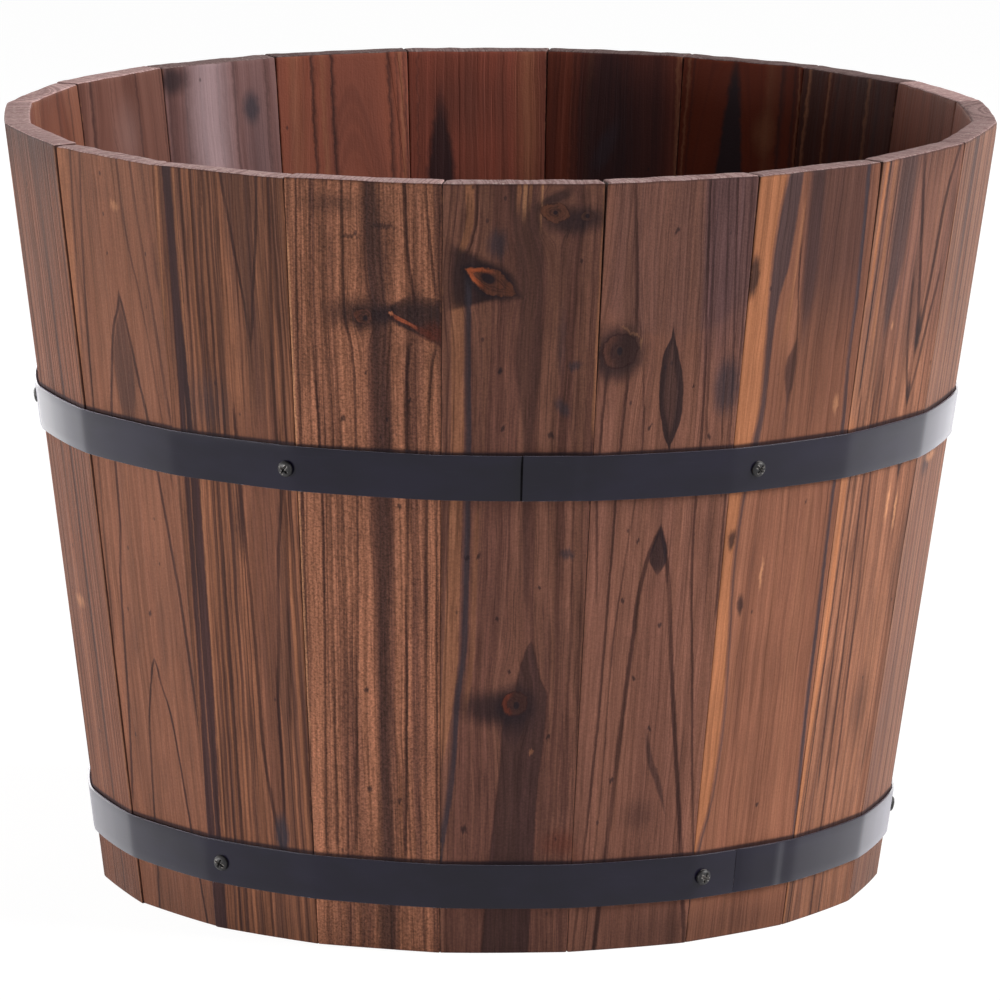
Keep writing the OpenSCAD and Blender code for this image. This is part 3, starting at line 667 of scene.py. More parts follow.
# ---------------------------------------------------------------- node helper
class Graph:
    """Short names for the nodes of a material or world."""

    def __init__(self, owner):
        owner.use_nodes = True
        self.owner = owner
        self.tree = owner.node_tree
        self.tree.nodes.clear()

    def node(self, kind, **settings):
        made = self.tree.nodes.new(kind)
        for key, value in settings.items():
            setattr(made, key, value)
        return made

    def feed(self, socket, value):
        if isinstance(value, bpy.types.NodeSocket):
            self.tree.links.new(value, socket)
        else:
            socket.default_value = value

    def math(self, operation, a, b=0.0, c=0.0):
        made = self.node("ShaderNodeMath", operation=operation)
        for socket, value in zip(made.inputs, (a, b, c)):
            self.feed(socket, value)
        return made.outputs[0]

    def add(self, a, b):
        return self.math("ADD", a, b)

    def sub(self, a, b):
        return self.math("SUBTRACT", a, b)

    def mul(self, a, b):
        return self.math("MULTIPLY", a, b)

    def muladd(self, a, b, c):
        return self.math("MULTIPLY_ADD", a, b, c)

    def length(self, a, b):
        return self.math("SQRT", self.muladd(a, a, self.mul(b, b)))

    def vector(self, x, y, z):
        made = self.node("ShaderNodeCombineXYZ")
        for socket, value in zip(made.inputs, (x, y, z)):
            self.feed(socket, value)
        return made.outputs[0]

    def split(self, vector):
        made = self.node("ShaderNodeSeparateXYZ")
        self.feed(made.inputs[0], vector)
        return made.outputs

    def attribute(self, name):
        return self.node("ShaderNodeAttribute", attribute_name=name)

    def noise(self, x, y, z, detail=2.0, roughness=0.5):
        """Noise over three places, each a value or a (value, scale) pair."""
        place = [self.mul(*axis) if isinstance(axis, tuple) else axis for axis in (x, y, z)]
        made = self.node("ShaderNodeTexNoise")
        self.feed(made.inputs["Vector"], self.vector(*place))
        made.inputs["Scale"].default_value = 1.0
        made.inputs["Detail"].default_value = detail
        made.inputs["Roughness"].default_value = roughness
        return made.outputs["Fac"]

    def step(self, value, low, high, to_low=0.0, to_high=1.0):
        """Smooth step of value from low to high; low may be the larger."""
        made = self.node("ShaderNodeMapRange", interpolation_type="SMOOTHSTEP")
        self.feed(made.inputs["Value"], value)
        made.inputs["From Min"].default_value = low
        made.inputs["From Max"].default_value = high
        made.inputs["To Min"].default_value = to_low
        made.inputs["To Max"].default_value = to_high
        return made.outputs["Result"]

    def curve(self, value, points):
        """A smooth line through (value, result) points, both shares from 0 to 1, level outside."""
        made = self.node("ShaderNodeFloatCurve")
        made.mapping.extend = "HORIZONTAL"
        line = made.mapping.curves[0].points
        ordered = sorted(points)
        line[0].location = ordered[0]
        line[1].location = ordered[-1]
        for place in ordered[1:-1]:
            line.new(*place)
        for point in line:
            point.handle_type = "AUTO_CLAMPED"
        made.mapping.update()
        self.feed(made.inputs["Value"], value)
        return made.outputs["Value"]

    def mix(self, factor, a, b):
        """Colour a where the factor is 0, and b where it is 1."""
        made = self.node("ShaderNodeMix", data_type="RGBA")
        for index, value in ((0, factor), (6, a), (7, b)):
            self.feed(made.inputs[index], value)
        return made.outputs[2]

    def dim(self, colour, factor):
        """A colour times a factor."""
        made = self.node("ShaderNodeVectorMath", operation="SCALE")
        self.feed(made.inputs[0], colour)
        self.feed(made.inputs["Scale"], factor)
        return made.outputs[0]

    def ramp(self, value, stops):
        """Grey or colour ramp; stops are (position, value or colour), in order."""
        made = self.node("ShaderNodeValToRGB")
        elements = made.color_ramp.elements
        elements.remove(elements[1])
        for index, (position, colour) in enumerate(stops):
            element = elements[0] if index == 0 else elements.new(position)
            element.position = position
            element.color = colour if isinstance(colour, tuple) else (colour,) * 3 + (1.0,)
        self.feed(made.inputs["Fac"], value)
        return made.outputs["Color"]

    def place(self):
        """The piece's own coordinates, in mm."""
        made = self.node("ShaderNodeVectorMath", operation="SCALE")
        self.feed(made.inputs[0], self.node("ShaderNodeTexCoord").outputs["Object"])
        made.inputs["Scale"].default_value = 1 / MM
        return self.split(made.outputs[0])

    def shade(self, colour, roughness, height, bump, **constants):
        """Closes the material: bump is the relief in mm, and constants are set on the shader."""
        shader = self.node("ShaderNodeBsdfPrincipled")
        self.feed(shader.inputs["Base Color"], colour)
        self.feed(shader.inputs["Roughness"], roughness)
        for key, value in constants.items():
            shader.inputs[key.replace("_", " ")].default_value = value
        relief = self.node("ShaderNodeBump")
        relief.inputs["Strength"].default_value = 1.0
        relief.inputs["Distance"].default_value = bump * MM
        self.feed(relief.inputs["Height"], height)
        self.feed(shader.inputs["Normal"], relief.outputs["Normal"])
        out = self.node("ShaderNodeOutputMaterial")
        self.feed(out.inputs["Surface"], shader.outputs[0])
        return self.owner


def material_graph(name):
    return Graph(bpy.data.materials.new(name))


# ---------------------------------------------------------------- stave material
# Ring radius that a ramp of lines spans. A ramp holds 32 stops, and each line takes three
RAMP_SPAN = 130.0
LINES_PER_RAMP = 9
# Height and width that the curves of drawn marks span, and how softly the marks end
BOARD_SPAN = 350.0
ACROSS_SPAN = 80.0
FADE = 6.0
# Painted shade outside: darker towards the rim and under the lower hoop, where less light falls:
# (height, tone) shares
HEIGHT_SHADE = (
    (0.0, 0.74), (0.05, 0.82), (0.085, 0.99), (0.4, 1.0), (0.62, 0.94), (0.8, 0.84), (1.0, 0.81))
WARMTH = (1.0, 0.93, 0.87)
# How strong a stave's smoke stains and its fibres are, for a smoke or a grain of 1
SMOKE_SHARE = 0.8
FIBRE_SHARE = 0.65


def line_mask(g, rings, lines):
    """Dark or light lines along the rings, each (ring radius, half-width, strength)."""
    total = None
    ordered = sorted(lines)
    for first in range(0, len(ordered), LINES_PER_RAMP):
        stops = []
        for radius, width, strength in ordered[first:first + LINES_PER_RAMP]:
            for offset, value in ((-1.4, 0.0), (0.0, strength), (0.75, 0.0)):
                position = (radius + offset * width) / RAMP_SPAN
                if stops:
                    position = max(position, stops[-1][0] + 0.0004)
                stops.append((position, value))
        mask = g.ramp(g.mul(rings, 1 / RAMP_SPAN), stops)
        total = g.math("MAXIMUM", total, mask) if total else mask
    return total


def wander(g, v, path):
    """A drawn line's place across the board at each height, through its (v, u) points."""
    shares = [(max(y, 0) / BOARD_SPAN, x / ACROSS_SPAN + 0.5) for y, x in path]
    followed = g.curve(g.mul(v, 1 / BOARD_SPAN), shares)
    return g.muladd(followed, ACROSS_SPAN, -ACROSS_SPAN / 2)


def within(g, v, rows, fade=FADE):
    """1 between the lowest and highest rows, fading out, except where the board ends first."""
    low, high = min(rows)[0], max(rows)[0]
    kept = 1.0
    if low > FADE:
        kept = g.step(v, low - fade, low + fade)
    if high < HEIGHT - FADE:
        kept = g.mul(g.step(v, high + fade, high - fade), kept)
    return kept


def draw_stroke(g, colour, stroke, b):
    """One grain line: soft on its left and sharp on its right, stronger at some places."""
    aside = g.sub(b.drawn_u, wander(g, b.v, stroke.path))
    mask = g.mul(
        g.step(aside, -1.9 * stroke.width, -0.3 * stroke.width),
        g.step(aside, stroke.width, 0.3 * stroke.width, 0.0, stroke.strength))
    mask = g.mul(mask, g.mul(within(g, b.v, stroke.path), b.patchy))
    return g.mix(mask, colour, stroke.colour)


def draw_band(g, colour, band, b):
    """A stain between two drawn edges, with a darker line inside them if it has an outline."""
    left = wander(g, b.v, [(row[0], row[1]) for row in band.rows])
    right = wander(g, b.v, [(row[0], row[2]) for row in band.rows])
    inside = g.math("MINIMUM", g.sub(b.drawn_u, left), g.sub(right, b.drawn_u))
    kept = within(g, b.v, band.rows, band.fade)
    mask = g.mul(g.step(inside, 0.0, band.soft, 0.0, band.strength), kept)
    colour = g.mix(mask, colour, band.colour)
    if band.outline:
        away = g.math("ABSOLUTE", g.sub(inside, band.line * 0.6))
        line = g.step(away, band.line, band.line * 0.3, 0.0, band.outline)
        colour = g.mix(g.mul(line, g.mul(kept, b.patchy)), colour, DARK)
    return colour


def ellipse_axes(g, u, v, shape, grow_u=1.0, grow_v=1.0):
    """Place along an ellipse's two axes, each 1 on its outline. A taper narrows one end."""
    turn = math.radians(shape.tilt)
    ru, rv = shape.ru * grow_u, shape.rv * grow_v
    across, up = g.sub(u, shape.u), g.sub(v, shape.v)
    a = g.muladd(across, math.cos(turn) / ru, g.mul(up, math.sin(turn) / ru))
    b = g.muladd(up, math.cos(turn) / rv, g.mul(across, -math.sin(turn) / rv))
    if shape.taper:
        a = g.math("DIVIDE", a, g.math("MAXIMUM", g.muladd(b, shape.taper, 1.0), 0.08))
    return a, b


def flow_round(g, u, v, knot):
    """The grain's place across the board, pushed aside where it flows round a knot."""
    reach = g.length(*ellipse_axes(g, u, v, knot, 1.1, 2.6))
    inside = g.math("MAXIMUM", g.mul(reach, reach), 1.0)
    shift = g.math("DIVIDE", g.sub(u, knot.u), inside)
    return g.muladd(shift, -knot.flow, u)


def draw_knot(g, colour, knot, u, v, rough):
    """A knot's dark halo, its body with one lit ring on the left, thin rings, and its heart."""
    across, up = ellipse_axes(g, u, v, knot)
    reach = g.length(across, up)
    if knot.pointed:
        reach = g.add(g.math("ABSOLUTE", up), g.mul(across, across))
    reach = g.muladd(rough, 0.6, g.sub(reach, 0.3))
    halo = g.step(reach, knot.halo + 0.55, 0.85, 0.0, knot.halo_strength)
    colour = g.mix(halo, colour, CHAR)
    body = g.mix(g.step(rough, 0.45, 0.62, 0.0, 0.45), knot.body, SCORCH)
    lit = g.mul(g.step(reach, 0.42, 0.6), g.step(reach, 0.98, 0.8))
    lit = g.mul(lit, g.step(across, 0.05, -0.55))
    body = g.mix(lit, body, knot.eye)
    for radius, strength in ((0.38, 0.5), (0.6, 0.35), (0.95, 0.3 if knot.pointed else 0.85)):
        ring = g.step(g.math("ABSOLUTE", g.sub(reach, radius)), 0.1, 0.03, 0.0, strength)
        body = g.mix(g.mul(ring, g.step(rough, 0.4, 0.52, 0.25, 1.0)), body, DARK)
    heart = g.length(g.mul(g.sub(across, knot.heart), 1 / knot.heart_size),
                     g.mul(g.add(up, knot.heart), 0.7 / knot.heart_size))
    heart = g.muladd(rough, 0.8, g.sub(heart, 0.4))
    body = g.mix(g.step(heart, 1.6, 1.1, 0.0, 0.4), body, SCORCH)
    body = g.mix(g.step(heart, 1.25, 0.75, 0.0, 0.95), body, CHAR)
    return g.mix(g.step(reach, 1.03, 0.93), colour, body)


def draw_patches(g, colour, patches, u, v):
    """Stains and flecks, in their order."""
    for patch in patches:
        reach = g.length(*ellipse_axes(g, u, v, patch))
        mask = g.step(reach, 1 + patch.soft, 1 - patch.soft, 0.0, patch.strength)
        colour = g.mix(mask, colour, patch.colour)
    return colour


def inside_wood(g, inside, b):
    """The inner face: smooth wood with a few soft lines and stains."""
    colour = g.mix(g.step(b.broad, 0.35, 0.65), inside.mid, inside.light)
    colour = g.mix(g.step(b.fine, 0.52, 0.64, 0.0, 0.2), colour, DARK)
    across = g.add(b.ragged_u, b.shift)
    place = g.sub(across, FAR_CENTRE)
    for lines, line_colour in ((inside.lights, LIGHT), (inside.lines, DARK)):
        if lines:
            colour = g.mix(line_mask(g, place, straight(*lines)), colour, line_colour)
    return draw_patches(g, colour, inside.patches, across, b.v)


def hoop_shade(g, colour, turn, b):
    """Painted shadow: a dark line in the wood along each hoop's upper edge, where the gap behind the
    hoop is shaded.
    """
    for hoop_z, seat in ((UPPER_HOOP_Z, UPPER_SEAT), (LOWER_HOOP_Z, LOWER_SEAT)):
        top_edge = float(hoop_height(hoop_z, seat, turn)) + HOOP_W / 2 * math.cos(TILT)
        above = g.step(b.v, top_edge + 2.2, top_edge + 0.8, 0.0, 0.85)
        near = g.mul(above, g.step(b.v, top_edge - 2, top_edge - 1))
        colour = g.mix(g.mul(near, b.outer), colour, CHAR)
    return colour


class Board:
    """A stave's places and rings, and its grain and wear at several scales."""

    def __init__(self, g, look, seed):
        u, v, w = g.split(g.attribute("board").outputs["Vector"])
        sway = g.noise((u, 1 / 26), (v, 1 / 75), seed)
        curl = g.noise((u, 1 / 6), (v, 1 / 24), seed + 20.0)
        shift = g.muladd(sway, 2 * look.wobble, g.muladd(curl, 1.0, -look.wobble - 0.5))
        rough = g.noise((u, 0.33), (v, 0.22), seed + 3.1, 3.0, 0.6)
        grain_u = g.add(u, shift)
        for knot in look.knots:
            if knot.flow:
                grain_u = flow_round(g, grain_u, v, knot)

        # Ring radius: distance to the tree's centre line, which lies look.depth under the face
        depth = g.muladd(w, 0.8, g.muladd(v, look.depth_rise, look.depth))
        rings = g.length(g.sub(grain_u, look.centre), depth)

        # Growth rings of uneven width, each with one sharp edge, some of them faint
        uneven = g.noise((rings, 0.09), (v, 0.002), seed + 12.0)
        phase = g.math("FRACT", g.muladd(rings, 1 / look.period, g.mul(uneven, 5.0)))
        late = g.mul(g.step(phase, 0.35, 0.95), g.step(phase, 1.0, 0.95))
        kept = g.noise((rings, 0.31), (v, 0.004), seed + 15.0)
        self.late = g.mul(late, g.step(kept, 0.36, 0.62, 0.15, 1.0))
        self.patchy = g.step(kept, 0.3, 0.52, 0.6, 1.0)

        # Noise along the rings: broad tones, stripes, hair lines and streaks
        self.broad = g.noise((rings, 0.14), (v, 0.0035), seed + 7.7)
        self.fine = g.noise((rings, 0.6), (v, 0.006), seed + 1.3, 3.0, 0.65)
        self.hair = g.noise((rings, 1.0), (v, 0.04), seed + 5.9, 2.0, 0.7)
        self.streak = g.noise((rings, 0.34), (v, 0.009), seed + 17.0, 4.0, 0.7)

        # Noise along the board: fibres, brush marks, mottling, clouds and the end's saw marks
        self.fibre = g.noise((u, 1.05), (v, 0.055), g.add(w, seed), 3.0, 0.7)
        self.nap = g.noise((u, 0.9), (v, 1.1), g.add(w, seed + 2), 2.0, 0.6)
        self.mottle = g.noise((u, 0.045), (v, 0.018), seed + 9.4, 3.0, 0.6)
        self.cloud = g.noise((u, 0.09), (v, 0.02), seed + 31.0, 3.0, 0.55)
        self.arcs = g.noise((rings, 0.9), seed, 0.0)
        self.cut = g.noise((u, 0.8), (w, 0.4), seed + 4, 3.0, 0.7)

        # 1 on the outer face, and 1 on the sawn ends
        self.outer = g.step(w, STAVE_T * 0.5, STAVE_T * 0.3)
        self.end = g.attribute("end").outputs["Fac"]

        # Where lines, and where stains, are drawn across and up the board: a little unevenly
        self.drawn_u = g.muladd(rough, 0.9, g.muladd(self.fibre, 0.6, g.sub(u, 0.75)))
        self.ragged_u = g.muladd(rough, 3.0, g.sub(u, 1.5))
        self.ragged_v = g.muladd(self.fine, 8.0, g.sub(v, 4.0))

        self.lines = 0.0
        if look.lines:
            strength = g.step(self.mottle, 0.25, 0.5, 0.65, 1.0)
            self.lines = g.mul(line_mask(g, rings, look.lines), strength)
        self.u, self.v, self.w, self.seed = u, v, w, seed
        self.shift, self.rough, self.rings = shift, rough, rings


def outside_wood(g, look, b):
    """The outer face: tones, rings and stripes, and then this stave's own lines and marks."""
    colour = g.mix(g.step(b.broad, 0.4, 0.6, 0.0, look.broad), look.mid, look.light)
    colour = g.mix(g.mul(b.late, look.rings), colour, DARK)
    colour = g.mix(g.step(b.fine, 0.54, 0.62, 0.0, look.stripes), colour, DARK)
    colour = g.mix(g.step(b.fine, 0.45, 0.36, 0.0, look.stripes), colour, look.light)
    for band in look.bands:
        colour = draw_band(g, colour, band, b)
    colour = g.mix(g.step(b.hair, 0.54, 0.66, 0.0, 0.26 * look.grain), colour, DARK)
    if look.lights:
        colour = g.mix(line_mask(g, b.rings, look.lights), colour, ORANGE)
    if look.lines:
        colour = g.mix(b.lines, colour, DARK)
    colour = g.mix(g.step(b.cloud, 0.48, 0.7, 0.0, SMOKE_SHARE * look.smoke), colour, SCORCH)
    for stroke in look.strokes:
        colour = draw_stroke(g, colour, stroke, b)
    colour = draw_patches(g, colour, look.patches, b.ragged_u, b.ragged_v)
    for knot in look.knots:
        colour = draw_knot(g, colour, knot, b.u, b.v, b.rough)
    return colour


def surface_tone(g, colour, look, b):
    """Fibres, brush marks, streaks, painted shade at each height, and pin specks."""
    fibre_share = FIBRE_SHARE * look.grain
    tone = g.muladd(b.nap, look.nap, 1 - look.nap / 2)
    tone = g.mul(g.muladd(b.fibre, fibre_share, 1 - fibre_share / 2), tone)
    tone = g.mul(tone, g.muladd(b.streak, 1.5, 0.25))
    tone = g.muladd(g.sub(tone, 1.0), g.muladd(b.outer, 0.8, 0.2), 1.0)
    tone = g.mul(tone, g.muladd(b.mottle, 0.4, 0.8))
    # painted shade: the outer face darker towards the rim and under the lower hoop
    rise = g.curve(g.mul(b.v, 1 / BOARD_SPAN), HEIGHT_SHADE)
    colour = g.dim(colour, g.mul(tone, g.muladd(g.sub(rise, 1.0), b.outer, 1.0)))
    warm = g.node("ShaderNodeVectorMath", operation="MULTIPLY")
    g.feed(warm.inputs[0], colour)
    warm.inputs[1].default_value = WARMTH
    specks = g.node("ShaderNodeTexVoronoi", feature="F1")
    speck_place = g.vector(g.mul(b.u, 0.075), g.mul(b.v, 0.045), g.add(b.w, b.seed))
    g.feed(specks.inputs["Vector"], speck_place)
    specks.inputs["Scale"].default_value = 1.0
    return g.mix(g.step(specks.outputs["Distance"], 0.07, 0.03, 0.0, 0.6), warm.outputs[0], CHAR)


def edges_and_ends(g, colour, number, look, b):
    """The arrises, the sides and the sawn ends have their own tones, and the wood along the hoops has a
    painted shadow.
    """
    edge = g.attribute("edge").outputs["Fac"]
    side_glint = g.step(b.u, -1.0, 1.0, look.glint_left, look.glint_right)
    glint = g.mul(g.step(edge, 1.9, 0.5), g.mul(side_glint, b.outer))
    colour = g.mix(g.mul(glint, g.step(b.rough, 0.36, 0.5, 0.3, 1.0)), colour, PALE)
    worn = g.mul(g.step(edge, 1.2, 0.2), g.step(b.rough, 0.5, 0.66, 0.0, 0.3))
    colour = g.mix(worn, colour, LIGHT)
    colour = g.mix(g.mul(g.attribute("side").outputs["Fac"], 0.75), colour, SCORCH)
    # painted shadow along each hoop's upper edge
    colour = hoop_shade(g, colour, stave_turn(number), b)
    end_colour = g.mix(g.step(b.arcs, 0.45, 0.6, 0.0, 0.6), END_GRAIN, END_DARK)
    end_colour = g.mix(g.step(b.cut, 0.52, 0.68, 0.0, 0.7), end_colour, END_LIGHT)
    under_rim = g.mul(g.step(b.v, HEIGHT - 2.2, HEIGHT - 0.8, 0.0, 0.55), b.outer)
    colour = g.mix(under_rim, colour, DARK)
    return g.mix(b.end, colour, g.dim(end_colour, RIM_TONES.get(number, RIM_TONE)))


def stave_material(name, number, look, seed):
    g = material_graph(name)
    b = Board(g, look, seed)
    outside = outside_wood(g, look, b)
    colour = g.mix(g.sub(1.0, b.outer), outside, inside_wood(g, look.inside, b))
    colour = surface_tone(g, colour, look, b)
    colour = edges_and_ends(g, colour, number, look, b)

    height = g.muladd(b.fibre, 0.6, g.mul(b.fine, 0.8))
    height = g.muladd(g.add(b.lines, b.late), -0.5, height)
    height = g.muladd(b.nap, look.nap, height)
    height = g.muladd(g.mul(b.cut, b.end), 2.0, height)
    roughness = g.muladd(b.end, 0.5, g.muladd(b.mottle, 0.2, g.muladd(b.fine, 0.15, 0.42)))
    return g.shade(colour, roughness, height, 0.25, Specular_IOR_Level=0.1)


# ---------------------------------------------------------------- other materials
def plank_material(name, along, seed):
    """Sawn wood for the bottom; along is the axis, 0 for X or 1 for Y, that the grain follows."""
    g = material_graph(name)
    axes = g.place()
    run, across, deep = axes[along], axes[1 - along], axes[2]
    drift = g.noise((run, 0.010), (across, 0.03), seed)
    rings = g.length(g.muladd(drift, 9.0, across), g.muladd(run, 0.06, 40.0))
    rings = g.muladd(deep, 0.6, rings)
    bands = g.noise((rings, 0.32), (run, 0.003), seed, 3.0, 0.6)
    fine = g.noise((rings, 1.4), (run, 0.008), seed + 2, 3.0, 0.7)
    fibre = g.noise((run, 0.14), (across, 3.8), deep, 3.0, 0.7)
    saw = g.noise((run, 1.6), (across, 0.05), seed + 5)
    mottle = g.noise((run, 0.02), (across, 0.03), seed + 8, 3.0)
    colour = g.mix(g.step(bands, 0.4, 0.62), srgb(116, 74, 54), srgb(84, 50, 38))
    colour = g.mix(g.step(fine, 0.5, 0.7, 0.0, 0.6), colour, DARK)
    colour = g.mix(g.step(mottle, 0.5, 0.75, 0.0, 0.45), colour, SCORCH)
    tone = g.mul(g.muladd(fibre, 0.6, 0.66), g.muladd(saw, 0.24, 0.88))
    height = g.muladd(saw, 0.6, g.muladd(fibre, 0.6, fine))
    return g.shade(g.dim(colour, tone), g.muladd(mottle, 0.2, 0.58), height, 0.3)


def hoop_material():
    g = material_graph("hoop_paint")
    x, y, z = g.place()
    blotch = g.noise((x, 0.028), (y, 0.028), (z, 0.06), 3.0)
    peel = g.noise((x, 0.9), (y, 0.9), (z, 0.9))
    drag = g.noise((x, 0.06), (y, 0.06), (z, 1.5), 3.0, 0.6)
    colour = g.mix(g.step(blotch, 0.35, 0.7), srgb(17, 13, 31), srgb(23, 19, 39))
    colour = g.mix(g.step(drag, 0.62, 0.78, 0.0, 0.2), colour, srgb(48, 45, 58))
    roughness = g.muladd(blotch, 0.1, g.muladd(drag, 0.06, 0.14))
    return g.shade(colour, roughness, g.muladd(peel, 0.3, g.mul(blotch, 2.0)), 0.03,
                   Specular_IOR_Level=0.15, Coat_Weight=0.75, Coat_IOR=1.25, Coat_Roughness=0.18,
                   Sheen_Weight=1.0, Sheen_Roughness=0.3, Sheen_Tint=(0.84, 0.82, 1.0, 1.0))


def seam_dirt_and_shadow_material():
    """Dirt and painted shadow in the seam at the end of a hoop's upper layer: near black and dull."""
    g = material_graph("hoop_seam_dirt_and_shadow")
    x, y, z = g.place()
    grit = g.noise((x, 1.2), (y, 1.2), (z, 1.2), 2.0)
    colour = g.mix(g.step(grit, 0.4, 0.6), srgb(9, 8, 11), srgb(19, 17, 21))
    return g.shade(colour, g.muladd(grit, 0.1, 0.85), grit, 0.05, Specular_IOR_Level=0.05)


def screw_material():
    g = material_graph("screw_black")
    x, y, z = g.place()
    wear = g.noise((x, 0.7), (y, 0.7), (z, 0.7), 3.0, 0.6)
    crest = g.node("ShaderNodeNewGeometry").outputs["Pointiness"]
    colour = g.mix(g.step(wear, 0.4, 0.7), srgb(22, 21, 23), srgb(46, 44, 45))
    # lighter crests: partly wear, partly painted highlight
    colour = g.mix(g.step(crest, 0.52, 0.6, 0.0, 0.8), colour, srgb(150, 145, 142))
    # painted shade: near black in the hollows of the cross recess
    colour = g.mix(g.step(crest, 0.48, 0.42, 0.0, 0.9), colour, srgb(8, 8, 9))
    return g.shade(colour, g.muladd(wear, 0.25, 0.3), wear, 0.05, Metallic=0.3)


def zinc_material():
    g = material_graph("zinc_fastener")
    x, y, z = g.place()
    grain = g.noise((x, 0.5), (y, 0.5), (z, 0.5), 3.0, 0.6)
    colour = g.mix(g.step(grain, 0.35, 0.7), srgb(150, 150, 154), srgb(188, 186, 180))
    return g.shade(colour, g.muladd(grain, 0.25, 0.28), grain, 0.04, Metallic=0.9)


# ---------------------------------------------------------------- meshes
def ripple(seed, a, b, size_a, size_b):
    """Smooth, seeded unevenness between -1 and 1 over two coordinates."""
    rng = np.random.default_rng(seed)
    waves = 5
    total = np.zeros(np.broadcast(a, b).shape)
    for _ in range(waves):
        turn_a, turn_b = rng.uniform(-1, 1, 2)
        phase = rng.uniform(0, 2 * math.pi)
        total = total + np.sin(2 * math.pi * (a / size_a * turn_a + b / size_b * turn_b) + phase)
    return total / waves


def spacing(edges, inside):
    """Rows close together at both ends: each is a share of the length plus a fixed part."""
    last = edges[-1]
    rows = [(0.0, e) for e in edges[:-1]]
    rows += [(k / inside, last * (1 - 2 * k / inside)) for k in range(inside + 1)]
    rows += [(1.0, -e) for e in reversed(edges[:-1])]
    return np.array(rows).T


# A board's rows of points, across it, through it and up it
ACROSS = spacing((0.0, 0.3, 0.7, 1.3, 2.6), 20)
THROUGH = spacing((0.0, 0.3, 0.7, 1.3), 3)
UPWARD = spacing((0.0, 0.3, 0.7, 1.3, 3.0), 66)


def block_surface(counts):
    """Which points of a block of points are on its surface, and the block's outward quads."""
    on_surface = np.zeros(counts, bool)
    on_surface[[0, -1]] = True
    on_surface[:, [0, -1]] = True
    on_surface[:, :, [0, -1]] = True
    ids = np.full(counts, -1)
    ids[on_surface] = np.arange(on_surface.sum())
    sides = (
        (ids[0], False), (ids[-1], True), (ids[:, 0], True),
        (ids[:, -1], False), (ids[:, :, 0], False), (ids[:, :, -1], True))
    quads = []
    for grid, flip in sides:
        a, b, c, d = grid[:-1, :-1], grid[:-1, 1:], grid[1:, 1:], grid[1:, :-1]
        loops = np.stack((a, d, c, b) if flip else (a, b, c, d), -1)
        quads.append(loops.reshape(-1, 4))
    return on_surface, np.concatenate(quads)


def link(name, data):
    """A new object in the scene."""
    made = bpy.data.objects.new(name, data)
    bpy.context.scene.collection.objects.link(made)
    return made


def make_object(name, points, faces, attributes=(), smooth=True):
    """A mesh from points in mm, with attributes for its material."""
    mesh = bpy.data.meshes.new(name)
    mesh.from_pydata((np.asarray(points) * MM).tolist(), [], faces)
    for key, values in attributes:
        is_vector = values.ndim == 2
        layer = mesh.attributes.new(key, "FLOAT_VECTOR" if is_vector else "FLOAT", "POINT")
        values = values.astype(np.float32).ravel()
        layer.data.foreach_set("vector" if is_vector else "value", values)
    mesh.polygons.foreach_set("use_smooth", [smooth] * len(mesh.polygons))
    mesh.update()
    return link(name, mesh)


def wear(piece, node, slot, material):
    """Ties a piece to the CAD node that it replaces, and gives it its finish."""
    piece.data.materials.clear()
    piece.data.materials.append(material)
    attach(piece, "root")
    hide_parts(node)


# How a board is worn: its arrises' radius and how much that varies, more within RIM_WEAR_H of the
# rim, the waves of its faces and their grain, and the long and short teeth of its saw cut
ARRIS_R = 0.75
ARRIS_VARIES = 0.35
RIM_WEAR = 0.5
RIM_WEAR_H = 12.0
FACE_WAVE = 0.1
GRAIN_RELIEF = 0.04
SAW_WAVE = 0.25
SAW_TEETH = 0.12


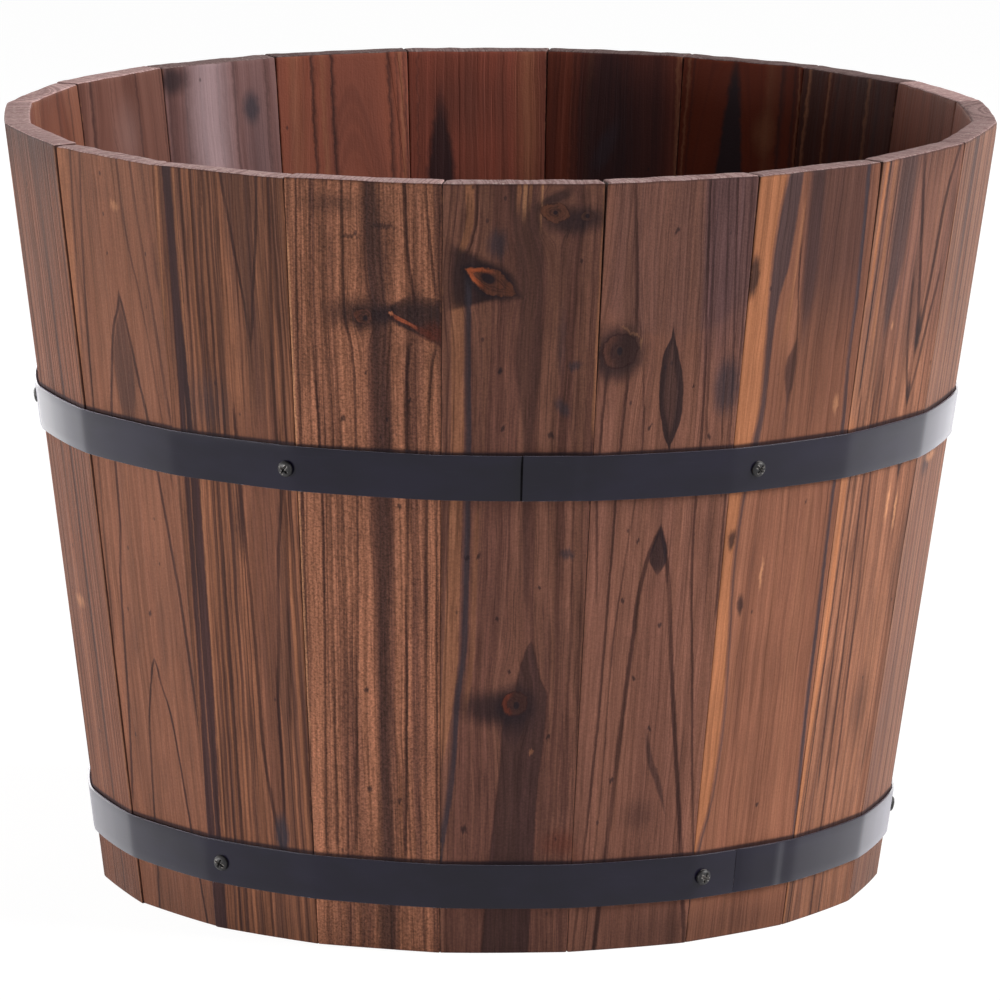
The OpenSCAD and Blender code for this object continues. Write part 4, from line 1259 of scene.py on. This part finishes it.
def stave_piece(number, look):
    """One board: rounded arrises, uneven faces and a sawn end, in the place of its CAD stave."""
    seed = 100 * number
    counts = [rows.shape[1] for rows in (ACROSS, THROUGH, UPWARD)]
    i, j, k = np.meshgrid(*(np.arange(n) for n in counts), indexing="ij")
    on_surface, quads = block_surface(i.shape)
    i, j, k = i[on_surface], j[on_surface], k[on_surface]
    y = THROUGH[0, j] * STAVE_T + THROUGH[1, j]
    z = UPWARD[0, k] * HEIGHT + UPWARD[1, k]

    # Each side stands back by half of the joint's gap, and the right joint may open to the rim
    half_w = (face_r(z) - y * LEVEL) * math.tan(HALF) - STAVE_GAP / 2 / math.cos(HALF)
    open_up = np.clip((z - look.gap_from) / (HEIGHT - look.gap_from), 0, 1)
    right = half_w - look.gap_right * open_up
    x = ACROSS[0, i] * (half_w + right) + ACROSS[1, i] - half_w
    near_x = np.minimum(x + half_w, right - x)
    edge = near_x.copy()

    # Round the twelve edges, more at some places than at others, and most at the rim
    radius = ARRIS_R + ARRIS_VARIES * ripple(seed + 1, x, z, 60, 45)
    radius = radius + RIM_WEAR * np.clip((z - HEIGHT + RIM_WEAR_H) / RIM_WEAR_H, 0, 1)
    near = np.stack((near_x, np.minimum(y, STAVE_T - y), np.minimum(z, HEIGHT - z)))
    short = np.maximum(radius - near, 0)
    reach = np.sqrt((short ** 2).sum(0))
    pull = np.where(reach > radius, radius / np.maximum(reach, 1e-9), 1.0)
    moved = np.where(short > 0, radius - short * pull, near) - near
    x = x + moved[0] * np.where(x < (right - half_w) / 2, 1, -1)
    y = y + moved[1] * np.where(y < STAVE_T / 2, 1, -1)
    z = z + moved[2] * np.where(z < HEIGHT / 2, 1, -1)

    # Uneven faces and a slightly ragged saw cut
    wave = FACE_WAVE * (1 + ripple(seed + 2, x, z, 70, 160))
    grain = GRAIN_RELIEF * (1 + ripple(seed + 3, x, z, 7, 400))
    outside = np.clip(1 - y / STAVE_T, 0, 1)
    round_face = face_r(z) * (1 / math.cos(HALF) - 1) * (1 - np.clip(x / half_w, -1, 1) ** 2)
    y = y + outside * (look.recess + wave + grain) - (1 - outside) * (look.thin + wave)
    y = y - round_face * (outside * CROWN_SHARE + (1 - outside) * HOLLOW_SHARE)
    ragged = SAW_WAVE * (1 + ripple(seed + 4, x, y, 14, 6))
    ragged = ragged + SAW_TEETH * (1 + ripple(seed + 5, x, y, 3, 40))
    rise = np.clip((z - HEIGHT / 2) / (HEIGHT / 2), 0, 1) ** 4
    z = z - rise * (look.drop + ragged)

    distance = face_r(z) - y * LEVEL
    turn = math.radians(stave_turn(number))
    points = settle(
        x * math.cos(turn) + distance * math.sin(turn),
        x * math.sin(turn) - distance * math.cos(turn), z)
    on_end = (k == 0) | (k == counts[2] - 1)
    on_side = ((i == 0) | (i == counts[0] - 1)) & (j > 0) & (j < counts[1] - 1)
    name = f"stave_board_{number:02d}"
    piece = make_object(name, points, quads.tolist(), (
        ("board", np.stack((x, z, y), -1)),
        ("edge", edge), ("end", on_end * 1.0), ("side", on_side * 1.0)))
    wear(piece, f"stave_{number:02d}", "stave_wood",
         stave_material(name + "_wood", number, look, number * 13.7))


# A hoop's strip: how far it bows out between its bends, and how sharp those are
HOOP_BULGE = 0.55
BEND_SHARPNESS = 2.6
HOOP_CLEAR = 0.1
STRIP_EDGE_R = 0.16
STRIP_WAVE = 0.1
STRIP_RIPPLE = 0.05
STRIP_SWAY = 0.2
# At its lap, in degrees from its visible end: its seam of dirt and painted shadow, what is ground
# thin and by what share, the joggle where it steps out, and the layers' clearance and rise in mm
SEAM = 0.2
GROUND_END = 1.2
GROUND_SHARE = 0.9
JOGGLE = 1.6
HIDDEN_END = 0.6
END_UNEVEN = 0.12
LAYER_CLEAR = 0.05
LAYER_RISE = 0.4


def hoop_radius(theta, z, out):
    """Distance from the axis to a strip that bends softly at the corners of the flat staves."""
    plane = face_r(z) + out * LEVEL
    nearest = np.round((theta - FIRST_TURN) / STEP) * STEP + FIRST_TURN
    total = 0.0
    for turn in (nearest - STEP, nearest, nearest + STEP):
        beyond = plane / np.cos(np.radians(theta - turn)) - plane
        total = total + np.exp(-BEND_SHARPNESS * beyond)
    flat = plane - np.log(total) / BEND_SHARPNESS
    bowed = plane / math.cos(HALF)
    return flat + HOOP_BULGE * (bowed - flat) + HOOP_CLEAR


def strip_section():
    """Closed outline of the strip: (across its width, outwards), with rounded edges."""
    edge = STRIP_EDGE_R
    flat = HOOP_W / 2 - edge
    rows = [flat * share for share in (-1, -0.6, -0.2, 0.2, 0.6, 1)]
    corner = [math.radians(t) for t in (20, 45, 70)]
    outer = [(r, HOOP_T) for r in rows]
    outer += [(flat + edge * math.sin(t), HOOP_T - edge + edge * math.cos(t)) for t in corner]
    upper = [(HOOP_W / 2, HOOP_T - edge), (HOOP_W / 2, edge)]
    upper += [(flat + edge * math.cos(t), edge - edge * math.sin(t)) for t in corner]
    inner = [(-r, 0.0) for r in rows]
    inner += [(-flat - edge * math.sin(t), edge - edge * math.cos(t)) for t in corner]
    lower = [(-HOOP_W / 2, edge), (-HOOP_W / 2, HOOP_T - edge)]
    lower += [(-flat - edge * math.cos(t), HOOP_T - edge + edge * math.sin(t)) for t in corner]
    return np.array(outer + upper + inner + lower).T


def strip_angles(start, lap):
    """Where along a hoop's strip its sections stand: close together at its bends and its lap."""
    end = start + 360 + lap - JOGGLE - HIDDEN_END
    near_corner = np.array([0, 0.35, 0.8, 1.4, 2.2, 3.2, 4.4, 5.8, 7.4])
    pattern = np.unique(np.concatenate((near_corner, STEP - near_corner[1:])))
    corners = FIRST_TURN + STEP / 2 + STEP * np.arange(-3, STAVES + 6)
    angles = np.unique((corners[:, None] + pattern[None, :]).ravel())
    angles = angles[(angles > start + 0.1) & (angles < end - 0.1)]
    lap_shape = start + lap + JOGGLE * np.array([-1, -0.7, -0.4, -0.1, 0.2, 0.5])
    seam = [start, start + 0.04, start + SEAM, start + 0.5 * GROUND_END, start + GROUND_END]
    return np.unique(np.concatenate((seam, angles, lap_shape, [end - 0.04, end])))


def hoop_piece(name, node, z_mid, seat, lap_angle, seed, ground):
    """A steel strip, bent at each stave's corners, whose visible end lies over its other end.

    The visible end is square with a seam of dirt and painted shadow, or ground down thin.
    """
    lap = math.degrees(LAP_LEN / face_r(z_mid))
    angles = strip_angles(lap_angle, lap)
    width, thick = strip_section()

    theta = angles[:, None] + 0.0 * width[None, :]
    past = theta - lap_angle
    layer = np.clip((lap + JOGGLE * 0.5 - past) / (JOGGLE * 1.4), 0, 1)
    layer = layer * layer * (3 - 2 * layer)
    theta = theta + END_UNEVEN * ripple(seed + 3, width[None, :], past, 14, 400) * (past < 0.1)
    bow = STRIP_WAVE * (1 + ripple(seed, theta, width[None, :], 40, 60))
    bow = bow + STRIP_RIPPLE * (1 + ripple(seed + 1, theta, width[None, :], 9, 200))
    thick = thick[None, :] * (1 - ground * GROUND_SHARE * np.clip(1 - past / GROUND_END, 0, 1))
    out = HOOP_SEAT + layer * (HOOP_T + LAYER_CLEAR) + thick + bow
    sway = STRIP_SWAY * ripple(seed + 2, theta, theta * 0, 90, 1) + LAYER_RISE * layer
    middle = hoop_height(z_mid, seat, theta) + sway
    z = middle + width[None, :] * math.cos(TILT) - out * math.sin(TILT)
    radius = hoop_radius(theta, z, out)
    turn = np.radians(theta)
    points = settle(radius * np.sin(turn), -radius * np.cos(turn), z)

    rings, around = points.shape[:2]
    ids = np.arange(rings * around).reshape(rings, around)
    ahead = np.roll(ids, -1, axis=1)
    faces = np.stack((ids[:-1], ahead[:-1], ahead[1:], ids[1:]), -1).reshape(-1, 4).tolist()
    faces += [ids[0][::-1].tolist(), ids[-1].tolist()]
    piece = make_object(name, points.reshape(-1, 3), faces)
    fix_normals(piece)
    wear(piece, node, "hoop_steel", HOOP_PAINT)
    # the square end's seam gets the near-black seam material: dirt and painted shadow of the step
    if not ground:
        piece.data.materials.append(HOOP_SEAM_DIRT_AND_SHADOW)
        for k in list(range(2 * around)) + [len(faces) - 2]:
            piece.data.polygons[k].material_index = 1


def fix_normals(piece):
    """Turns every face outwards."""
    bm = bmesh.new()
    bm.from_mesh(piece.data)
    bmesh.ops.recalc_face_normals(bm, faces=bm.faces)
    bm.to_mesh(piece.data)
    bm.free()


def lathe(profile, steps):
    """Closed solid of revolution about +Z, from (radius, height) points that start and end at 0."""
    points = [(0.0, 0.0, profile[0][1])]
    for radius, height in profile[1:-1]:
        for s in range(steps):
            turn = 2 * math.pi * s / steps
            points.append((radius * math.cos(turn), radius * math.sin(turn), height))
    points.append((0.0, 0.0, profile[-1][1]))
    faces = []
    rings = len(profile) - 2
    for s in range(steps):
        t = (s + 1) % steps
        faces.append([0, 1 + t, 1 + s])
        for r in range(rings - 1):
            a, b = 1 + r * steps, 1 + (r + 1) * steps
            faces.append([a + s, a + t, b + t, b + s])
        top = 1 + (rings - 1) * steps
        faces.append([top + s, top + t, len(points) - 1])
    return points, faces


RECESS_ARM = 2.7
RECESS_WEB = 0.62
RECESS_DEEP = 1.5


def cross_cutter():
    """The recess of a cross-head screw: two tapering wings that meet in a blunt point."""
    arm, web = RECESS_ARM, RECESS_WEB
    outline = []
    for quarter in range(4):
        turn = math.pi / 2 * quarter
        for x, y in ((arm, -web), (arm, web), (web, web)):
            outline.append((
                x * math.cos(turn) - y * math.sin(turn), x * math.sin(turn) + y * math.cos(turn)))
    count = len(outline)
    points = [(x, y, HEAD_H + 0.5) for x, y in outline]
    points += [(x * 0.5, y * 0.7, HEAD_H - RECESS_DEEP) for x, y in outline]
    points.append((0.0, 0.0, HEAD_H - RECESS_DEEP - 0.25))
    faces = [list(range(count))]
    for s in range(count):
        t = (s + 1) % count
        faces.append([count + s, count + t, t, s])
        faces.append([2 * count, count + t, count + s])
    return points, faces


def screw_mesh():
    """Pan-head wood screw with a cross recess: its head on z = 0 and its point below."""
    profile = [(0, -SCREW_LEN), (0.35, -SCREW_LEN + 0.4), (SHANK_R, -SCREW_LEN + 3)]
    profile += [(SHANK_R, -0.3), (SHANK_R + 0.2, 0.0), (HEAD_R - 0.25, 0.0), (HEAD_R, 0.22)]
    lip = HEAD_H * 0.36
    for degrees in range(0, 90, 9):
        turn = math.radians(degrees)
        profile.append((HEAD_R * math.cos(turn) ** 0.7, lip + (HEAD_H - lip) * math.sin(turn)))
    profile.append((0, HEAD_H))
    head = make_object("screw_blank", *lathe(profile, 48), smooth=False)
    cutter = make_object("screw_cutter", *cross_cutter(), smooth=False)
    for piece in (head, cutter):
        fix_normals(piece)
    cut = head.modifiers.new("recess", "BOOLEAN")
    cut.operation = "DIFFERENCE"
    cut.solver = "EXACT"
    cut.object = cutter
    soften = head.modifiers.new("worn", "BEVEL")
    soften.width = 0.07 * MM
    soften.segments = 2
    soften.angle_limit = math.radians(40)
    ready = bpy.context.evaluated_depsgraph_get()
    mesh = bpy.data.meshes.new_from_object(head.evaluated_get(ready))
    for piece in (head, cutter):
        bpy.data.objects.remove(piece)
    return mesh


def screw_places(angles, z_mid, seat):
    """Places of a hoop's screws: on the flat of the nearest stave, square to its face."""
    for angle in angles:
        z = float(hoop_height(z_mid, seat, angle))
        turn = round((angle - FIRST_TURN) / STEP) * STEP + FIRST_TURN
        limit = face_r(z) * math.tan(HALF) - SCREW_EDGE
        offset = max(-limit, min(limit, face_r(z) * math.tan(math.radians(angle - turn))))
        yield (
            Matrix.Rotation(math.radians(turn), 4, "Z")
            @ Matrix.Translation(Vector((0, -face_r(0), 0)) * MM)
            @ Matrix.Rotation(TILT, 4, "X")
            @ Matrix.Translation(Vector((offset, 0, z / math.cos(TILT))) * MM)
            @ Matrix.Rotation(math.pi / 2, 4, "X"))


# How far the heads stand off the strip, which bows out, and how far a screw may tip, in degrees
SCREW_LIFT = 0.7
SCREW_TIP = 2


def screw_group(name, node, angles, z_mid, seat, seed):
    """One hoop's screws as one piece, each turned and tipped a little by its own amount."""
    rng = np.random.default_rng(seed)
    source = screw_mesh()
    bm = bmesh.new()
    for place in screw_places(angles, z_mid, seat):
        tip = Matrix.Rotation(math.radians(rng.uniform(-SCREW_TIP, SCREW_TIP)), 4, "X")
        spin = Matrix.Rotation(rng.uniform(0, math.pi), 4, "Z")
        lift = Matrix.Translation((0, 0, (HOOP_SEAT + HOOP_T + SCREW_LIFT) * MM))
        copy = source.copy()
        copy.transform(place @ lift @ tip @ spin)
        bm.from_mesh(copy)
        bpy.data.meshes.remove(copy)
    points = np.array([vert.co for vert in bm.verts]) / MM
    for vert, point in zip(bm.verts, settle(*points.T)):
        vert.co = point * MM
    mesh = bpy.data.meshes.new(name)
    bm.to_mesh(mesh)
    bm.free()
    mesh.polygons.foreach_set("use_smooth", [True] * len(mesh.polygons))
    mesh.set_sharp_from_angle(angle=math.radians(35))
    wear(link(name, mesh), node, "black_screw", SCREW_BLACK)


# ---------------------------------------------------------------- build
HOOP_PAINT = hoop_material()
HOOP_SEAM_DIRT_AND_SHADOW = seam_dirt_and_shadow_material()
SCREW_BLACK = screw_material()
ZINC = zinc_material()

for number in range(1, STAVES + 1):
    stave_piece(number, STAVE_LOOKS.get(number) or plain_stave(number))

hoop_piece("upper_strip", "upper_hoop", UPPER_HOOP_Z, UPPER_SEAT, UPPER_LAP_ANGLE,
           seed=31, ground=False)
hoop_piece("lower_strip", "lower_hoop", LOWER_HOOP_Z, LOWER_SEAT, LOWER_LAP_ANGLE,
           seed=47, ground=True)
screw_group("upper_pan_screws", "upper_hoop_screws", UPPER_SCREWS, UPPER_HOOP_Z, UPPER_SEAT,
            seed=5)
screw_group("lower_pan_screws", "lower_hoop_screws", LOWER_SCREWS, LOWER_HOOP_Z, LOWER_SEAT,
            seed=6)


def dress(node, material):
    """Gives a CAD node that keeps its shape its finish."""
    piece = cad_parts[node]
    piece.data.materials.clear()
    piece.data.materials.append(material)


for k in range(1, BOTTOM_BOARDS + 1):
    dress(f"bottom_board_{k}", plank_material(f"bottom_plank_{k}", along=0, seed=11.0 * k))
dress("cleat_left", plank_material("cleat_left_wood", along=1, seed=71.0))
dress("cleat_right", plank_material("cleat_right_wood", along=1, seed=83.0))
dress("cleat_screws", ZINC)
dress("bottom_nails", ZINC)


# ---------------------------------------------------------------- stage, light, camera
FLOOR_R = 9000.0
FLOOR_SIDES = 64
FLOOR_DROP = 0.05
FLOOR_GREY = 0.86
FLOOR_GLOW = 1.12
FLOOR_GLOW_SHARE = 0.85
SKY_LEVEL = 0.16
LAMP_COLOUR = (1.0, 0.985, 0.965)


def seen_by_eye(g):
    """1 for rays from the camera, from gloss and through glass, which see the white backdrop."""
    path = g.node("ShaderNodeLightPath").outputs
    seen = g.math("MAXIMUM", path["Is Camera Ray"], path["Is Glossy Ray"])
    return g.math("MAXIMUM", seen, path["Is Transmission Ray"])


def floor_piece():
    """A pale floor that keeps the tub's shadow and glows white to the eye."""
    g = material_graph("floor_white")
    diffuse = g.node("ShaderNodeBsdfDiffuse")
    diffuse.inputs["Color"].default_value = (FLOOR_GREY, FLOOR_GREY, FLOOR_GREY, 1)
    glow = g.node("ShaderNodeEmission")
    glow.inputs["Color"].default_value = (1, 1, 1, 1)
    glow.inputs["Strength"].default_value = FLOOR_GLOW
    blend = g.node("ShaderNodeMixShader")
    g.feed(blend.inputs[0], g.mul(seen_by_eye(g), FLOOR_GLOW_SHARE))
    g.feed(blend.inputs[1], diffuse.outputs[0])
    g.feed(blend.inputs[2], glow.outputs[0])
    out = g.node("ShaderNodeOutputMaterial")
    g.feed(out.inputs["Surface"], blend.outputs[0])
    turns = [2 * math.pi * s / FLOOR_SIDES for s in range(FLOOR_SIDES)]
    points = [(FLOOR_R * math.cos(t), FLOOR_R * math.sin(t), -FLOOR_DROP) for t in turns]
    floor = make_object("floor", points, [list(range(FLOOR_SIDES))], smooth=False)
    floor.data.materials.append(g.owner)


def sky():
    """A white backdrop that lights the tub only faintly."""
    world = bpy.data.worlds.new("studio")
    bpy.context.scene.world = world
    g = Graph(world)
    back = g.node("ShaderNodeBackground")
    back.inputs["Color"].default_value = (1, 1, 1, 1)
    g.feed(back.inputs["Strength"], g.step(seen_by_eye(g), 0.0, 1.0, SKY_LEVEL, 1.0))
    out = g.node("ShaderNodeOutputWorld")
    g.feed(out.inputs["Surface"], back.outputs[0])


def softbox(name, azimuth, elevation, distance, width, height, power):
    """Lamp aimed at the tub; azimuth 0 is the front and grows towards +X."""
    lamp = bpy.data.lights.new(name, "AREA")
    lamp.shape = "RECTANGLE"
    lamp.size = width
    lamp.size_y = height
    lamp.energy = power
    lamp.color = LAMP_COLOUR
    made = link(name, lamp)
    az, el = math.radians(azimuth), math.radians(elevation)
    aim = Vector((0, 0, HEIGHT * 0.5 * MM))
    toward = Vector((math.sin(az) * math.cos(el), -math.cos(az) * math.cos(el), math.sin(el)))
    made.location = aim + toward * distance
    made.rotation_euler = (-toward).to_track_quat("-Z", "Y").to_euler()
    made.visible_camera = False


# The photograph's view, from a fit of the tub's outline and stave joints
CAM_ELEVATION = math.radians(10.5837)
CAM_ROLL = math.radians(0.292)
CAM_DISTANCE = 3699.1
CAM_AIM_X = 1.99
CAM_AIM_Z = 167.52
CAM_LENS = 294.83
SENSOR = 36.0


def camera():
    forward = Vector((0, math.cos(CAM_ELEVATION), -math.sin(CAM_ELEVATION)))
    right = Vector((1, 0, 0))
    up = right.cross(forward)
    rolled_right = right * math.cos(CAM_ROLL) + up * math.sin(CAM_ROLL)
    rolled_up = up * math.cos(CAM_ROLL) - right * math.sin(CAM_ROLL)
    data = bpy.data.cameras.new("camera")
    data.sensor_width = SENSOR
    data.lens = CAM_LENS
    made = link("camera", data)
    place = Matrix((rolled_right, rolled_up, -forward)).transposed().to_4x4()
    place.translation = (Vector((CAM_AIM_X, 0, CAM_AIM_Z)) - forward * CAM_DISTANCE) * MM
    made.matrix_world = place
    bpy.context.scene.camera = made


floor_piece()
sky()
softbox("key_right", 78, 32, 2.4, 1.4, 1.4, 66)
softbox("side_left", -72, 2, 2.4, 1.6, 0.5, 36.6)
softbox("rim_left", -125, 8, 2.2, 1.5, 0.8, 10)
softbox("back_left", -155, 6, 2.4, 1.6, 1.2, 11)
softbox("back_right", 155, 6, 2.4, 1.6, 1.2, 8)
softbox("low_left", -148, -8, 0.66, 0.44, 0.13, 0.15)
softbox("low_right", 155, -8, 0.66, 0.36, 0.13, 0.085)
camera()
bpy.context.scene.view_settings.view_transform = "Standard"
